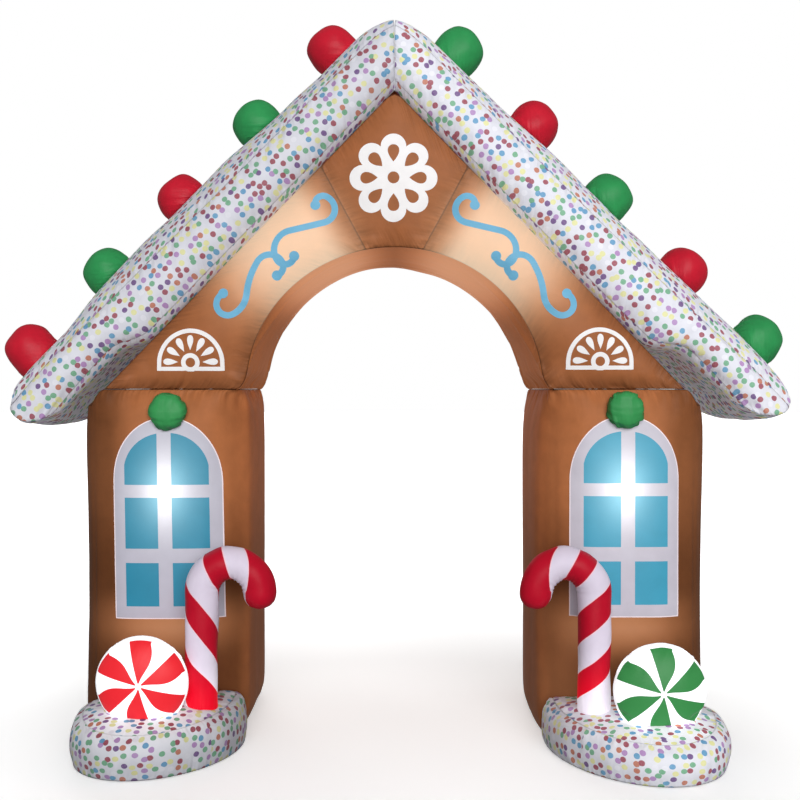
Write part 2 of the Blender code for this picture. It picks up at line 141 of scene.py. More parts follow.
apart = {"sideRun": 1.7, "endRun": 2.3, "across": 0.37, "along": 0.53}  # keeps the panels' patterns apart
noSeam = 9.0  # a distance that no gather reaches


def cutPanel(cells, place, centre, seams=(1, 1, 1, 1), pucker=1.0, held=False, finish=0, cloths=(),
             spread=None, flatten=None, even=False):
    across, along = cells
    bpy.ops.mesh.primitive_grid_add(x_subdivisions=across, y_subdivisions=along, size=2)
    panel = bpy.context.object
    mesh = panel.data
    count = len(mesh.vertices)
    flat = coordsOf(mesh)
    columns = np.rint((flat[:, 0] + 1) / 2 * across).astype(int)
    rows = np.rint((flat[:, 1] + 1) / 2 * along).astype(int)
    net = np.empty((across + 1, along + 1, 3))
    for column in range(across + 1):
        for row in range(along + 1):
            net[column, row] = place(column / across, row / along)
    net += np.array(middle)
    mesh.vertices.foreach_set("co", net[columns, rows].ravel())
    mesh.update()

    outward = sum((face.center - centre - middle).dot(face.normal) * face.area for face in mesh.polygons)
    if outward < 0:
        mesh.flip_normals()

    stepsAcross = np.linalg.norm(np.diff(net, axis=0), axis=2)
    stepsAlong = np.linalg.norm(np.diff(net, axis=1), axis=2)
    fromLeft = np.zeros(net.shape[:2])
    fromLeft[1:] = np.cumsum(stepsAcross, axis=0)
    fromLow = np.zeros(net.shape[:2])
    fromLow[:, 1:] = np.cumsum(stepsAlong, axis=1)
    sideGaps = np.minimum(fromLeft if seams[0] else noSeam, fromLeft[-1:] - fromLeft if seams[1] else noSeam)
    endGaps = np.minimum(fromLow if seams[2] else noSeam, fromLow[:, -1:] - fromLow if seams[3] else noSeam)
    shape = net.shape[:2]
    order = len(bpy.data.meshes)
    strength = np.ones(shape)
    if callable(pucker):
        strength = np.array([[pucker(*(net[i, j] - np.array(middle))) for j in range(shape[1])]
                             for i in range(shape[0])])
    else:
        strength *= pucker
    values = {"fromSide": np.broadcast_to(sideGaps, shape), "fromEnd": np.broadcast_to(endGaps, shape),
              "sideRun": fromLow + order * apart["sideRun"], "endRun": fromLeft + order * apart["endRun"],
              "pucker": strength}
    for name, value in values.items():
        attribute = mesh.attributes.new(name, "FLOAT", "POINT")
        attribute.data.foreach_set("value", np.ascontiguousarray(value[columns, rows], dtype=np.float32))

    border = (columns == 0) | (columns == across) | (rows == 0) | (rows == along)
    group = panel.vertex_groups.new(name="held")
    group.add(list(range(count)) if held else [int(i) for i in np.nonzero(border)[0]], 1.0, "REPLACE")
    corners = np.empty(len(mesh.loops), dtype=np.int32)
    mesh.loops.foreach_get("vertex_index", corners)
    places = np.stack([fromLeft[columns, rows] + order * apart["across"],
                       fromLow[columns, rows] + order * apart["along"]], axis=1)
    if even:  # a print that doesn't shear on a curved strip
        places = np.stack([fromLeft.mean(axis=1)[columns], fromLow.mean(axis=0)[rows]], axis=1)
        places += order * apart["across"]
    if flatten:  # a print laid straight on the panel
        places = np.stack(flatten(*(net[columns, rows] - np.array(middle)).T), axis=1)
    if spread:  # a pattern that follows the whole piece
        places = np.stack([columns / across * spread[0], rows / along * spread[1]], axis=1)
    mesh.uv_layers[0].data.foreach_set("uv", places[corners].astype(np.float32).ravel())
    mesh.uv_layers[0].name = "cloth"
    for cloth in cloths:
        mesh.materials.append(cloth)
    mesh.polygons.foreach_set("material_index", np.full(len(mesh.polygons), finish, dtype=np.int32))
    return panel


def sewPanels(name, panels):
    deselectAll()
    for panel in panels:
        panel.select_set(True)
    bpy.context.view_layer.objects.active = panels[0]
    bpy.ops.object.join()
    piece = bpy.context.object
    piece.name = name
    piece.data.name = name
    deselectAll()
    return piece


nylon = {"quality": 4, "stretch": 15, "shear": 5, "bend": 0.6, "uneven": 0.0015, "unevenScale": 9.0}


def fillWithAir(piece, air):  # cloth with pressure, seams held, then no point further than the limit
    mesh = piece.data
    start = coordsOf(mesh)
    rough = np.array([noise.noise(Vector(point) * nylon["unevenScale"]) for point in start]) * nylon["uneven"]
    held = np.array([vertex.groups[0].weight if vertex.groups else 0.0 for vertex in mesh.vertices])
    mesh.vertices.foreach_set("co", (start + normalsOf(mesh) * (rough * (1 - held))[:, None]).ravel())
    cloth = piece.modifiers.new("Air", "CLOTH")
    settings = cloth.settings
    settings.quality = nylon["quality"]
    settings.vertex_group_mass = "held"
    settings.use_pressure = True
    settings.uniform_pressure_force = air["pressure"]
    settings.shrink_min = settings.shrink_max = -air["slack"]
    settings.tension_stiffness = settings.compression_stiffness = nylon["stretch"]
    settings.shear_stiffness = nylon["shear"]
    settings.bending_stiffness = nylon["bend"]
    settings.effector_weights.gravity = 0
    cloth.collision_settings.use_collision = False
    for step in range(1, air["steps"] + 1):
        bpy.context.scene.frame_set(step)
    seen = piece.evaluated_get(bpy.context.evaluated_depsgraph_get())
    moved = coordsOf(seen.data) - start
    piece.modifiers.remove(cloth)
    length = np.maximum(np.linalg.norm(moved, axis=1), 1e-9)
    share = air["limit"] * np.tanh(length / air["limit"]) / length
    mesh.vertices.foreach_set("co", (start + moved * share[:, None]).ravel())
    mesh.update()
    bpy.context.scene.frame_set(1)


def waveAlong(run, length, table):  # an uneven wave along a seam
    place = run / length
    index = np.floor(place).astype(int)
    share = place - index
    share = share * share * (3 - 2 * share)
    size = len(table)
    return table[index % size] * (1 - share) + table[(index + 1) % size] * share


uneven = {"count": 997, "reachWave": 0.11, "amountWave": 0.23, "amountFrom": 5.0, "least": 0.35, "more": 0.9,
          "calmBeside": 0.08}  # how gathers come and go along a seam


def addPuckers(piece, pucker, seed):
    mesh = piece.data
    rng = np.random.default_rng(seed)
    table = rng.uniform(-1.0, 1.0, uneven["count"])
    other = rng.uniform(0.0, 1.0, uneven["count"])
    strength = readValues(mesh, "pucker")
    rise = np.zeros(len(mesh.vertices))
    for distance, run in (("fromSide", "sideRun"), ("fromEnd", "endRun")):
        gap = readValues(mesh, distance)
        along = readValues(mesh, run)
        reach = pucker["reach"] * (0.5 + waveAlong(along, uneven["reachWave"], other))
        near = gap / reach
        near = near * np.exp(1 - near)
        amount = waveAlong(along + uneven["amountFrom"], uneven["amountWave"], other)
        amount = uneven["least"] + uneven["more"] * amount
        rise += near * amount * waveAlong(along, pucker["wave"], table)
    rise *= strength * pucker["depth"]
    points = coordsOf(mesh)
    if "fold" in pucker:
        scale = Vector(pucker["foldScale"])
        gap = np.minimum(readValues(mesh, "fromSide"), readValues(mesh, "fromEnd"))
        folds = np.array([noise.noise(Vector(p) * scale + Vector((seed, 0, 0))) for p in points])
        rise += pucker["fold"] * folds * np.minimum(1.0, gap / uneven["calmBeside"]) * np.minimum(1.0, strength)
    points += normalsOf(mesh) * rise[:, None]
    mesh.vertices.foreach_set("co", points.ravel())
    mesh.update()


def pick(piece):
    deselectAll()
    piece.select_set(True)
    bpy.context.view_layer.objects.active = piece


def addSubdivision(piece):
    finer = piece.modifiers.new("Finer", "SUBSURF")
    finer.levels = finer.render_levels = 1
    finer.boundary_smooth = "PRESERVE_CORNERS"
    pick(piece)
    bpy.ops.object.modifier_apply(modifier=finer.name)


def closeSeams(piece):
    sewn, tiny = 0.0015, 1e-6
    mesh = piece.data
    form = bmesh.new()
    form.from_mesh(mesh)
    bmesh.ops.remove_doubles(form, verts=form.verts, dist=sewn)
    bmesh.ops.dissolve_degenerate(form, edges=form.edges, dist=tiny)
    bmesh.ops.recalc_face_normals(form, faces=form.faces)
    if form.calc_volume(signed=True) < 0:
        bmesh.ops.reverse_faces(form, faces=form.faces)
    openEdges = sum(1 for edge in form.edges if not edge.is_manifold)
    form.to_mesh(mesh)
    form.free()
    mesh.update()
    mesh.shade_smooth()
    return openEdges


def markSeams(piece):  # the distance to the nearest seam and the place along it, for the finishes
    mesh = piece.data
    nearest = np.minimum(readValues(mesh, "fromSide"), readValues(mesh, "fromEnd"))
    attribute = mesh.attributes.new("seamGap", "FLOAT", "POINT")
    attribute.data.foreach_set("value", nearest.astype(np.float32))
    corners = np.empty(len(mesh.loops), dtype=np.int32)
    mesh.loops.foreach_get("vertex_index", corners)
    for name, pair in (("seamRun", ("sideRun", "endRun")), ("seamFrom", ("fromSide", "fromEnd"))):
        both = np.zeros((len(corners), 3), dtype=np.float32)
        for index, part in enumerate(pair):
            both[:, index] = readValues(mesh, part)[corners]
        mesh.attributes.new(name, "FLOAT_VECTOR", "CORNER").data.foreach_set("vector", both.ravel())


def makeCloth(name, panels, sizes, seed, node, slotName, settle=None, pucker="pucker"):
    piece = sewPanels(name, panels)
    fillWithAir(piece, sizes["air"])
    addSubdivision(piece)
    addPuckers(piece, sizes[pucker], seed)
    if settle:
        settle(piece)
    markSeams(piece)
    openEdges = closeSeams(piece)
    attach(piece, "root")
    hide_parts(node)
    report("%s: %d faces, %d open edges" % (name, len(piece.data.polygons), openEdges))
    return piece


# Finishes

def srgb(red, green, blue):
    linear = []
    for value in (red, green, blue):
        share = value / 255
        linear.append(share / 12.92 if share <= 0.04045 else ((share + 0.055) / 1.055) ** 2.4)
    return (*linear, 1.0)


def toned(colour, share):  # the same colour, darker or lighter
    return srgb(*[min(255, channel * share) for channel in colour])


class Recipe:  # a material's nodes, linked as they are made
    def __init__(self, name):
        self.material = bpy.data.materials.new(name)
        self.material.use_nodes = True
        self.tree = self.material.node_tree
        self.shader = self.tree.nodes["Principled BSDF"]

    def add(self, kind, inputs=(), **settings):
        node = self.tree.nodes.new("ShaderNode" + kind)
        for key, value in settings.items():
            setattr(node, key, value)
        for key, value in dict(inputs).items():
            if isinstance(value, bpy.types.NodeSocket):
                self.tree.links.new(value, node.inputs[key])
            else:
                node.inputs[key].default_value = value
        return node

    def math(self, operation, *values, clamp=False):
        node = self.add("Math", dict(enumerate(values)), operation=operation, use_clamp=clamp)
        return node.outputs[0]

    def vector(self, operation, *values, output=0):
        node = self.add("VectorMath", dict(enumerate(values)), operation=operation)
        return node.outputs[output]

    def mix(self, share, first, second, kind="MIX"):
        node = self.add("Mix", data_type="RGBA", blend_type=kind)
        for place, value in ((0, share), (6, first), (7, second)):
            if isinstance(value, bpy.types.NodeSocket):
                self.tree.links.new(value, node.inputs[place])
            else:
                node.inputs[place].default_value = value
        return node.outputs[2]

    def step(self, value, low, high):  # 0 below low, 1 above high
        node = self.add("MapRange", {0: value, 1: low, 2: high, 3: 0.0, 4: 1.0}, interpolation_type="SMOOTHSTEP")
        return node.outputs[0]

    def set(self, name, value):
        if isinstance(value, bpy.types.NodeSocket):
            self.tree.links.new(value, self.shader.inputs[name])
        else:
            self.shader.inputs[name].default_value = value

    def coat(self, tone, roughness, specular):
        self.set("Base Color", tone)
        self.set("Roughness", roughness)
        self.set("Specular IOR Level", specular)

    def shine(self, colour, strength=1.0):
        self.set("Emission Color", colour)
        self.set("Emission Strength", strength)

    def parts(self, value):
        return self.add("SeparateXYZ", {0: value}).outputs

    def seamGap(self):
        return self.add("Attribute", attribute_name="seamGap").outputs["Fac"]


streaks = {"lengthwise": 0.16, "scale": 62.0, "detail": 1.5, "bent": 0.2, "fade": -30.0, "apart": 3.0}


def addGathers(recipe):  # short creases that run away from each seam
    runs, gaps = [recipe.parts(recipe.add("Attribute", attribute_name=name).outputs["Vector"])
                  for name in ("seamRun", "seamFrom")]
    total = None
    for index in (0, 1):
        slow = recipe.math("MULTIPLY", gaps[index], streaks["lengthwise"])
        place = recipe.add("CombineXYZ", {0: runs[index], 1: slow, 2: index * streaks["apart"]}).outputs[0]
        streak = recipe.add("TexNoise", {"Vector": place, "Scale": streaks["scale"], "Detail": streaks["detail"],
                                         "Distortion": streaks["bent"]})
        near = recipe.math("EXPONENT", recipe.math("MULTIPLY", gaps[index], streaks["fade"]))
        streak = recipe.math("MULTIPLY", recipe.math("SUBTRACT", streak.outputs["Fac"], 0.5), near)
        total = streak if total is None else recipe.math("ADD", total, streak)
    return total


weave = {"threads": {"Scale": 260.0, "Distortion": 0.6},
         "creasesAndShade": {"Scale": 16.0, "Detail": 5.0, "Roughness": 0.55},
         "ridges": {"Scale": 5.0, "Detail": 3.0, "Distortion": 0.8},
         "strength": 0.10, "ridgeShare": 0.8, "depth": (0.0006, 0.004, 0.012), "paintedCreaseShade": 2.5}  # depth: fine to broad


def addWeave(recipe, crinkle=0.25, gathers=0.0):  # fine nylon threads and small creases
    place = recipe.add("TexCoord").outputs["Object"]
    threads = recipe.add("TexWave", {"Vector": place, **weave["threads"]}, bands_direction="DIAGONAL").outputs["Fac"]
    creasesAndShade = recipe.add("TexNoise", {"Vector": place, **weave["creasesAndShade"]}).outputs["Fac"]
    ridges = recipe.add("TexNoise", {"Vector": place, **weave["ridges"]}).outputs["Fac"]
    fine, coarse, broad = weave["depth"]
    layers = [(weave["strength"], fine, threads), (crinkle, coarse, creasesAndShade),
              (crinkle * weave["ridgeShare"], broad, ridges)]
    # painted shade: the colour is darker in the creases and in the gathers beside the seams
    paintedCreaseShade = creasesAndShade
    if gathers:
        pulled = addGathers(recipe)
        layers.append((gathers, broad, pulled))
        paintedCreaseShade = recipe.math("MULTIPLY_ADD", pulled, weave["paintedCreaseShade"], creasesAndShade)
    under = {}
    for strength, depth, height in layers:
        bump = recipe.add("Bump", {"Strength": strength, "Distance": depth, "Height": height, **under})
        under = {"Normal": bump.outputs[0]}
    recipe.set("Normal", under["Normal"])
    return place, paintedCreaseShade


lampFade = {"edge": 4.0, "seamSlope": -0.6, "seamLeast": 0.25, "frontFrom": (0.10, -0.15)}


def faded(recipe, share, least):  # from least to 1
    return recipe.math("MULTIPLY_ADD", share, 1 - least, least)


def lampGlow(recipe, place, lamps):  # a sum of soft spots, each with its own fades
    total = None
    inHouse = recipe.vector("SUBTRACT", place, tuple(middle))
    x, y, z = recipe.parts(inHouse)
    for lamp in lamps:
        centre = lamp["at"]
        if lamp.get("mirrored"):  # the same on both sides, in front and behind
            here, offset = recipe.vector("ABSOLUTE", inHouse), (centre[0], abs(centre[1]), centre[2])
        else:
            here, offset = place, (centre[0] + middle.x, centre[1] + middle.y, centre[2])
        here = recipe.vector("DIVIDE", recipe.vector("SUBTRACT", here, offset), lamp["size"])
        far = recipe.math("POWER", recipe.vector("LENGTH", here, output=1), lamp.get("edge", lampFade["edge"]))
        spot = recipe.math("EXPONENT", recipe.math("MULTIPLY", far, -1.0))
        spot = recipe.math("MULTIPLY", spot, lamp["strength"])
        if "inner" in lamp:  # less beside the centre panel's slanted seam
            fromSeam = recipe.math("MULTIPLY_ADD", z, lampFade["seamSlope"], recipe.math("ABSOLUTE", x))
            share = recipe.step(fromSeam, *lamp["inner"])
            spot = recipe.math("MULTIPLY", spot, faded(recipe, share, lampFade["seamLeast"]))
        if "back" in lamp:  # less on the rear
            share = recipe.step(y, *lampFade["frontFrom"])
            spot = recipe.math("MULTIPLY", spot, faded(recipe, share, lamp["back"]))
        total = spot if total is None else recipe.math("ADD", total, spot)
    return total


legPaintedShade = {"innerEdge": (0.612, 0.565), "outerEdge": (0.965, 1.100), "turn": (-0.3, 0.3), "rise": (0.56, 1.02),
            "low": (0.44, 0.46, -0.10), "high": (1.06, 0.30, -0.48),  # the middle, and what each edge adds
            "outerBySide": (-0.25, 1.25), "bySide": 0.07}


def legShade(recipe, place):  # painted light and shade in the base colour: lighter in the upper middle, where the lamp inside lights it, and on the inner side; painted shade at the outer edge and towards the foot, the left leg darker than the right
    x, y, z = recipe.parts(recipe.vector("SUBTRACT", place, tuple(middle)))
    beside = recipe.math("ABSOLUTE", x)
    inner, outer = recipe.step(beside, *legPaintedShade["innerEdge"]), recipe.step(beside, *legPaintedShade["outerEdge"])
    side = recipe.step(x, *legPaintedShade["turn"])
    outer = recipe.math("MULTIPLY", outer, recipe.math("MULTIPLY_ADD", side, *legPaintedShade["outerBySide"]))
    tones = []
    for height in ("low", "high"):
        centre, atInner, atOuter = legPaintedShade[height]
        tone = recipe.math("MULTIPLY_ADD", inner, atInner, centre)
        tones.append(recipe.math("MULTIPLY_ADD", outer, atOuter, tone))
    share = recipe.step(z, *legPaintedShade["rise"])
    tone = recipe.math("MULTIPLY_ADD", recipe.math("SUBTRACT", tones[1], tones[0]), share, tones[0])
    return recipe.math("MULTIPLY", tone, recipe.math("MULTIPLY_ADD", side, legPaintedShade["bySide"], 1.0))


brown = {"base": (162, 99, 60), "creasesAndShade": (0.90, 1.09), "stitch": 0.64, "stitchWide": (0.0, 0.005),
         "seamShadeWide": (-0.02, 0.09), "rough": 0.45, "rim": (1.0, 0.87, 0.78), "rimFrom": (0.08, 0.60)}


def makeBrown(name, lamps, glow, specular=0.12, paintedGlow=0.0, shaded=None, edge=1.0):
    recipe = Recipe(name)
    base = brown["base"]
    place, creaseShadeShare = addWeave(recipe, gathers=0.8)
    # painted shade: darker in the creases and gathers, lighter on their ridges
    tone = recipe.mix(creaseShadeShare, *[toned(base, share) for share in brown["creasesAndShade"]])
    seam = recipe.seamGap()
    tone = recipe.mix(recipe.step(seam, *brown["stitchWide"]), toned(base, brown["stitch"]), tone)
    # painted shade: the cloth is darker towards each seam, down to the share edge at the seam
    tone = recipe.vector("MULTIPLY", tone, faded(recipe, recipe.step(seam, *brown["seamShadeWide"]), edge))
    if shaded:
        tone = recipe.vector("MULTIPLY", tone, shaded(recipe, place))
    recipe.coat(tone, brown["rough"], specular)
    light = lampGlow(recipe, place, lamps)
    # painted light: where no lamp reaches, the cloth still glows in its own colour
    paintedGlowTone = tuple(channel * paintedGlow for channel in srgb(*base)[:3]) + (1,)
    rim = srgb(*[channel * share for channel, share in zip(glow, brown["rim"])])
    warm = recipe.mix(recipe.step(light, *brown["rimFrom"]), rim, srgb(*glow))
    recipe.shine(recipe.mix(recipe.math("MINIMUM", light, 1.0), paintedGlowTone, warm))
    return recipe.material


gableLamps = [{"at": (0.35, 0.20, 1.885), "size": (0.385, 0.50, 0.33), "strength": 0.64, "mirrored": True,
               "inner": (-1.034, -0.844)}]
tunnelLamps = [{"at": (0.33, 0.20, 1.85), "size": (0.26, 0.50, 0.22), "strength": 0.45, "mirrored": True},
               {"at": (0.0, -0.20, 1.90), "size": (0.30, 0.60, 0.20), "strength": 0.07}]
centreLamps = [{"at": (0.31, 0.20, 1.880), "size": (0.20, 0.40, 0.26), "strength": 0.30, "mirrored": True}]
legLamps = [{"at": (0.862, 0.34, 0.45), "size": (0.23, 0.20, 0.12), "strength": 0.34, "mirrored": True, "back": 0.25,
             "edge": 3.0},
            {"at": (0.862, 0.42, 1.02), "size": (0.36, 0.40, 0.26), "strength": 0.05, "mirrored": True, "back": 0.4},
            {"at": (0.68, -0.40, 0.22), "size": (0.13, 0.20, 0.20), "strength": 0.10}]
# the copies differ in their lamps and in how dark the painted shade beside the seams gets
gingerbread = makeBrown("gingerbreadCloth", gableLamps, glow=(255, 236, 206), edge=0.60)
gingerbreadDark = makeBrown("gingerbreadCentre", centreLamps, glow=(255, 236, 208), edge=0.84)
# painted light: the tunnel glows in its own colour
gingerbreadTunnel = makeBrown("gingerbreadTunnel", tunnelLamps, glow=(255, 193, 152), specular=0.05, paintedGlow=0.37,
                              edge=0.70)
legCloth = makeBrown("gingerbreadLeg", legLamps, glow=(255, 196, 150), specular=0.06, shaded=legShade)


sprinkles = {"pitch": 0.0312, "radius": 0.0107, "uneven": 0.70, "wobble": 0.0028, "wobbleScale": 60.0,
             "worn": 0.30, "wornScale": 220.0, "stitch": 0.66, "stitchWide": (0.0005, 0.005),
             "rim": (1.07, 0.93), "finish": (0.45, 0.18),
             "ground": ((208, 209, 219), (228, 228, 236)),
             "colours": ((148, 30, 54), (96, 166, 122), (72, 146, 190), (170, 126, 184), (222, 220, 150), (96, 46, 122),
                         (148, 30, 54), (96, 166, 122), None, (222, 220, 150), (170, 122, 182), (188, 104, 66),
                         (80, 152, 192), (148, 30, 54), (222, 220, 150), (96, 166, 122))}


# each copy's colours are scaled by a painted brightness, so that darker and lighter copies stand in for shade and light
def makeSprinkle(name, lamps=(), paintedBrightness=1.0, paintedGlow=0.0):  # round dots, one to each cell of an uneven net
    recipe = Recipe(name)
    place, creaseShadeShare = addWeave(recipe, crinkle=0.42, gathers=0.6)
    # painted shade: the ground is darker in the creases and gathers
    ground = recipe.mix(creaseShadeShare, *[toned(tone, paintedBrightness) for tone in sprinkles["ground"]])
    uv = recipe.add("UVMap", uv_map="cloth").outputs["UV"]
    wander = recipe.add("TexNoise", {"Vector": uv, "Scale": sprinkles["wobbleScale"], "Detail": 1.0},
                        noise_dimensions="2D")
    wobble = recipe.vector("SUBTRACT", wander.outputs["Color"], (0.5, 0.5, 0.5))
    wobble = recipe.vector("MULTIPLY", wobble, (sprinkles["wobble"], sprinkles["wobble"], 0.0))
    here = recipe.vector("ADD", uv, wobble)
    cells = recipe.add("TexVoronoi", {"Vector": here, "Scale": 1 / sprinkles["pitch"],
                                      "Randomness": sprinkles["uneven"]}, voronoi_dimensions="2D")
    edge = sprinkles["radius"] / sprinkles["pitch"]
    inside = recipe.step(cells.outputs["Distance"], *[edge * share for share in sprinkles["rim"]])
    picks = recipe.add("SeparateColor", {0: cells.outputs["Color"]}).outputs
    colours = sprinkles["colours"]
    ramp = recipe.add("ValToRGB", {0: picks[0]})
    ramp.color_ramp.interpolation = "CONSTANT"
    stops = ramp.color_ramp.elements
    while len(stops) < len(colours):
        stops.new(0.5)
    for index, colour in enumerate(colours):
        stops[index].position = index / len(colours)
        stops[index].color = toned(colour or sprinkles["ground"][1], paintedBrightness)
    mottle = recipe.add("TexNoise", {"Vector": place, "Scale": sprinkles["wornScale"], "Detail": 2.0})
    worn = recipe.mix(recipe.math("MULTIPLY", mottle.outputs["Fac"], sprinkles["worn"]), ramp.outputs[0], ground)
    stitched = faded(recipe, recipe.step(recipe.seamGap(), *sprinkles["stitchWide"]), sprinkles["stitch"])
    tone = recipe.vector("MULTIPLY", recipe.mix(inside, ground, worn), stitched)
    recipe.coat(tone, *sprinkles["finish"])
    if paintedGlow:  # painted light: the cloth glows in its own colour, which evens out its shading
        recipe.shine(tone, paintedGlow)
    if lamps:
        light = recipe.math("MINIMUM", lampGlow(recipe, place, lamps), 1.0)
        recipe.shine(recipe.mix(light, (0, 0, 0, 1), recipe.mix(inside, (1, 1, 1, 1), ramp.outputs[0])))
    return recipe.material


gumdropTones = {"creasesAndShade": (0.9, 1.08), "paintedRimShade": 0.50, "finish": (0.40, 0.16)}


def makeNylon(name, base, rim=0.040):  # painted shade: darker towards the seam at its rim
    recipe = Recipe(name)
    creaseShadeShare = addWeave(recipe, crinkle=0.3, gathers=1.0)[1]
    # painted shade: darker in the creases and gathers
    tone = recipe.mix(creaseShadeShare, *[toned(base, share) for share in gumdropTones["creasesAndShade"]])
    paintedRimShade = faded(recipe, recipe.step(recipe.seamGap(), 0.0, rim), gumdropTones["paintedRimShade"])
    recipe.coat(recipe.vector("MULTIPLY", tone, paintedRimShade), *gumdropTones["finish"])
    return recipe.material


blades = {"count": 6, "from": -14.5, "width": 29.0, "belly": 11.0, "bellyFrom": 0.06, "bellyRate": 1.22,
          "reach": 0.925, "radius": 0.166, "stretch": 1.05, "hub": (0.055, 0.075), "sideBlur": 0.0012,
          "endBlur": 0.006, "paper": (240, 240, 244), "lit": (0.55, 0.55, 0.57, 1), "litShare": 0.52,
          "finish": (0.45, 0.3)}  # from, width and belly in degrees, the hub and the reach as shares of the radius


def makeMintCloth(name, centre, colour):  # curved blades round the hub, in polar coordinates
    recipe = Recipe(name)
    place = addWeave(recipe, crinkle=0.15, gathers=0.5)[0]
    x, _, z = recipe.parts(recipe.vector("SUBTRACT", place, tuple(centre + middle)))
    x = recipe.math("DIVIDE", x, blades["stretch"])
    away = recipe.math("SQRT", recipe.math("ADD", recipe.math("MULTIPLY", x, x), recipe.math("MULTIPLY", z, z)))
    share = recipe.math("DIVIDE", away, blades["radius"])
    turn = recipe.math("ARCTAN2", x, z)
    sector = 2 * math.pi / blades["count"]
    fromEdge = recipe.math("DIVIDE", recipe.math("SUBTRACT", turn, math.radians(blades["from"])), sector)
    fromEdge = recipe.math("MULTIPLY", sector, recipe.math("FRACT", fromEdge))
    belly = recipe.math("MULTIPLY", recipe.math("SUBTRACT", share, blades["bellyFrom"]), blades["bellyRate"])
    belly = recipe.math("MAXIMUM", 0.0, recipe.math("MINIMUM", 1.0, belly))
    belly = recipe.math("SINE", recipe.math("MULTIPLY", belly, math.pi))
    belly = recipe.math("MULTIPLY", belly, math.radians(blades["belly"]))
    width = recipe.math("ADD", math.radians(blades["width"]), belly)
    inward = recipe.math("MINIMUM", fromEdge, recipe.math("SUBTRACT", width, fromEdge))
    blade = recipe.math("MULTIPLY", recipe.step(recipe.math("MULTIPLY", inward, away), 0.0, blades["sideBlur"]),
                        recipe.step(share, blades["reach"] + blades["endBlur"], blades["reach"]))
    blade = recipe.math("MULTIPLY", blade, recipe.step(share, *blades["hub"]))
    recipe.coat(recipe.mix(blade, srgb(*blades["paper"]), srgb(*colour)), *blades["finish"])
    recipe.shine(recipe.mix(blade, blades["lit"], toned(colour, blades["litShare"])))
    return recipe.material


stripes = {"left": {"edges": (-0.060, 0.181, 0.314, 0.435, 0.550, 0.624, 0.715), "slant": 0.235, "turnBack": 1.45},
           "right": {"edges": (0.122, 0.230, 0.340, 0.453, 0.543, 0.614, 0.704), "slant": 0.147, "turnBack": 1.30},
           "blur": 0.0012, "lineFrom": (-0.0005, 0.0005), "lineTo": (0.0055, 0.0030), "litBelow": (0.42, 0.17),
           "white": ((216, 204, 222), (230, 221, 237)), "red": ((176, 10, 36), (196, 20, 46)), "line": (248, 206, 218),
           "lit": ((0.36, 0.34, 0.36, 1), (0.46, 0.0, 0.004, 1)), "finish": (0.42, 0.12)}


def makeCaneCloth(side):  # slanted stripes, printed alike on the front and the rear half
    edges, slant, turnBack = [stripes[side][key] for key in ("edges", "slant", "turnBack")]
    recipe = Recipe("caneCloth_" + side)
    place, creaseShadeShare = addWeave(recipe, crinkle=0.30, gathers=0.8)
    around, along, _ = recipe.parts(recipe.add("UVMap", uv_map="cloth").outputs["UV"])
    fold = recipe.math("ABSOLUTE", recipe.math("SUBTRACT", recipe.math("MULTIPLY", around, 2.0), 1.0))
    fold = recipe.math("MULTIPLY", recipe.math("SUBTRACT", 0.5, fold), -signOf[side])
    beyond = recipe.math("MAXIMUM", 0.0, recipe.math("SUBTRACT", along, edges[3]))
    slant = recipe.math("SUBTRACT", slant, recipe.math("MULTIPLY", beyond, turnBack))
    run = recipe.math("ADD", along, recipe.math("MULTIPLY", fold, slant))
    red, line = 0.0, 0.0
    for index, edge in enumerate(edges):  # white below the first edge, then red, and so on
        into = 1 if index % 2 == 0 else -1
        red = recipe.math("MULTIPLY_ADD", recipe.step(run, edge - stripes["blur"], edge + stripes["blur"]), into, red)
        near = recipe.math("MULTIPLY", recipe.math("SUBTRACT", run, edge), -into)
        near = recipe.math("MULTIPLY", recipe.step(near, *stripes["lineFrom"]), recipe.step(near, *stripes["lineTo"]))
        line = recipe.math("ADD", line, near)
    lit = recipe.step(recipe.parts(place)[2], *stripes["litBelow"])
    # painted shade: white and red are darker in the creases and gathers
    paper, dark = [recipe.mix(creaseShadeShare, *[srgb(*tone) for tone in stripes[key]]) for key in ("white", "red")]
    recipe.coat(recipe.mix(red, recipe.mix(line, paper, srgb(*stripes["line"])), dark), *stripes["finish"])
    recipe.shine(recipe.mix(lit, (0, 0, 0, 1), recipe.mix(red, *stripes["lit"])))
    return recipe.material


def baseLamp(x, fromLeg, z, deep, strength):
    return [{"at": (x, frontY - fromLeg, z), "size": (0.24, deep, 0.10), "strength": strength, "edge": 2.4}]


# painted light and shade: the left copies are darker and the right copies lighter, and the slabs also glow faintly in
# their own colour
sprinkle = {"left": makeSprinkle("sprinkleCloth_left", paintedBrightness=0.935, paintedGlow=0.15),
            "right": makeSprinkle("sprinkleCloth_right", paintedBrightness=1.01, paintedGlow=0.17)}
sprinkleLit = {"left": makeSprinkle("sprinkleLit_left", baseLamp(-0.90, 0.36, 0.20, 0.20, 0.46), 0.87),
               "right": makeSprinkle("sprinkleLit_right", baseLamp(0.94, 0.385, 0.18, 0.22, 0.42), 1.03)}
redCloth = makeNylon("redCloth", (196, 28, 48))
greenCloth = makeNylon("greenCloth", (48, 146, 82))
windowGreen = makeNylon("windowGreenCloth", (58, 150, 84), 0.085)
mintCloth = {"left": makeMintCloth("mintRedCloth", Vector((-0.900, frontY - 0.300, 0.293)), (226, 34, 44)),
             "right": makeMintCloth("mintGreenCloth", Vector((0.940, frontY - 0.325, 0.272)), (50, 128, 66))}
caneCloth = {side: makeCaneCloth(side) for side in bothSides}


plain = {"creasesAndShade": (0.95, 1.03), "finish": (0.42, 0.2)}


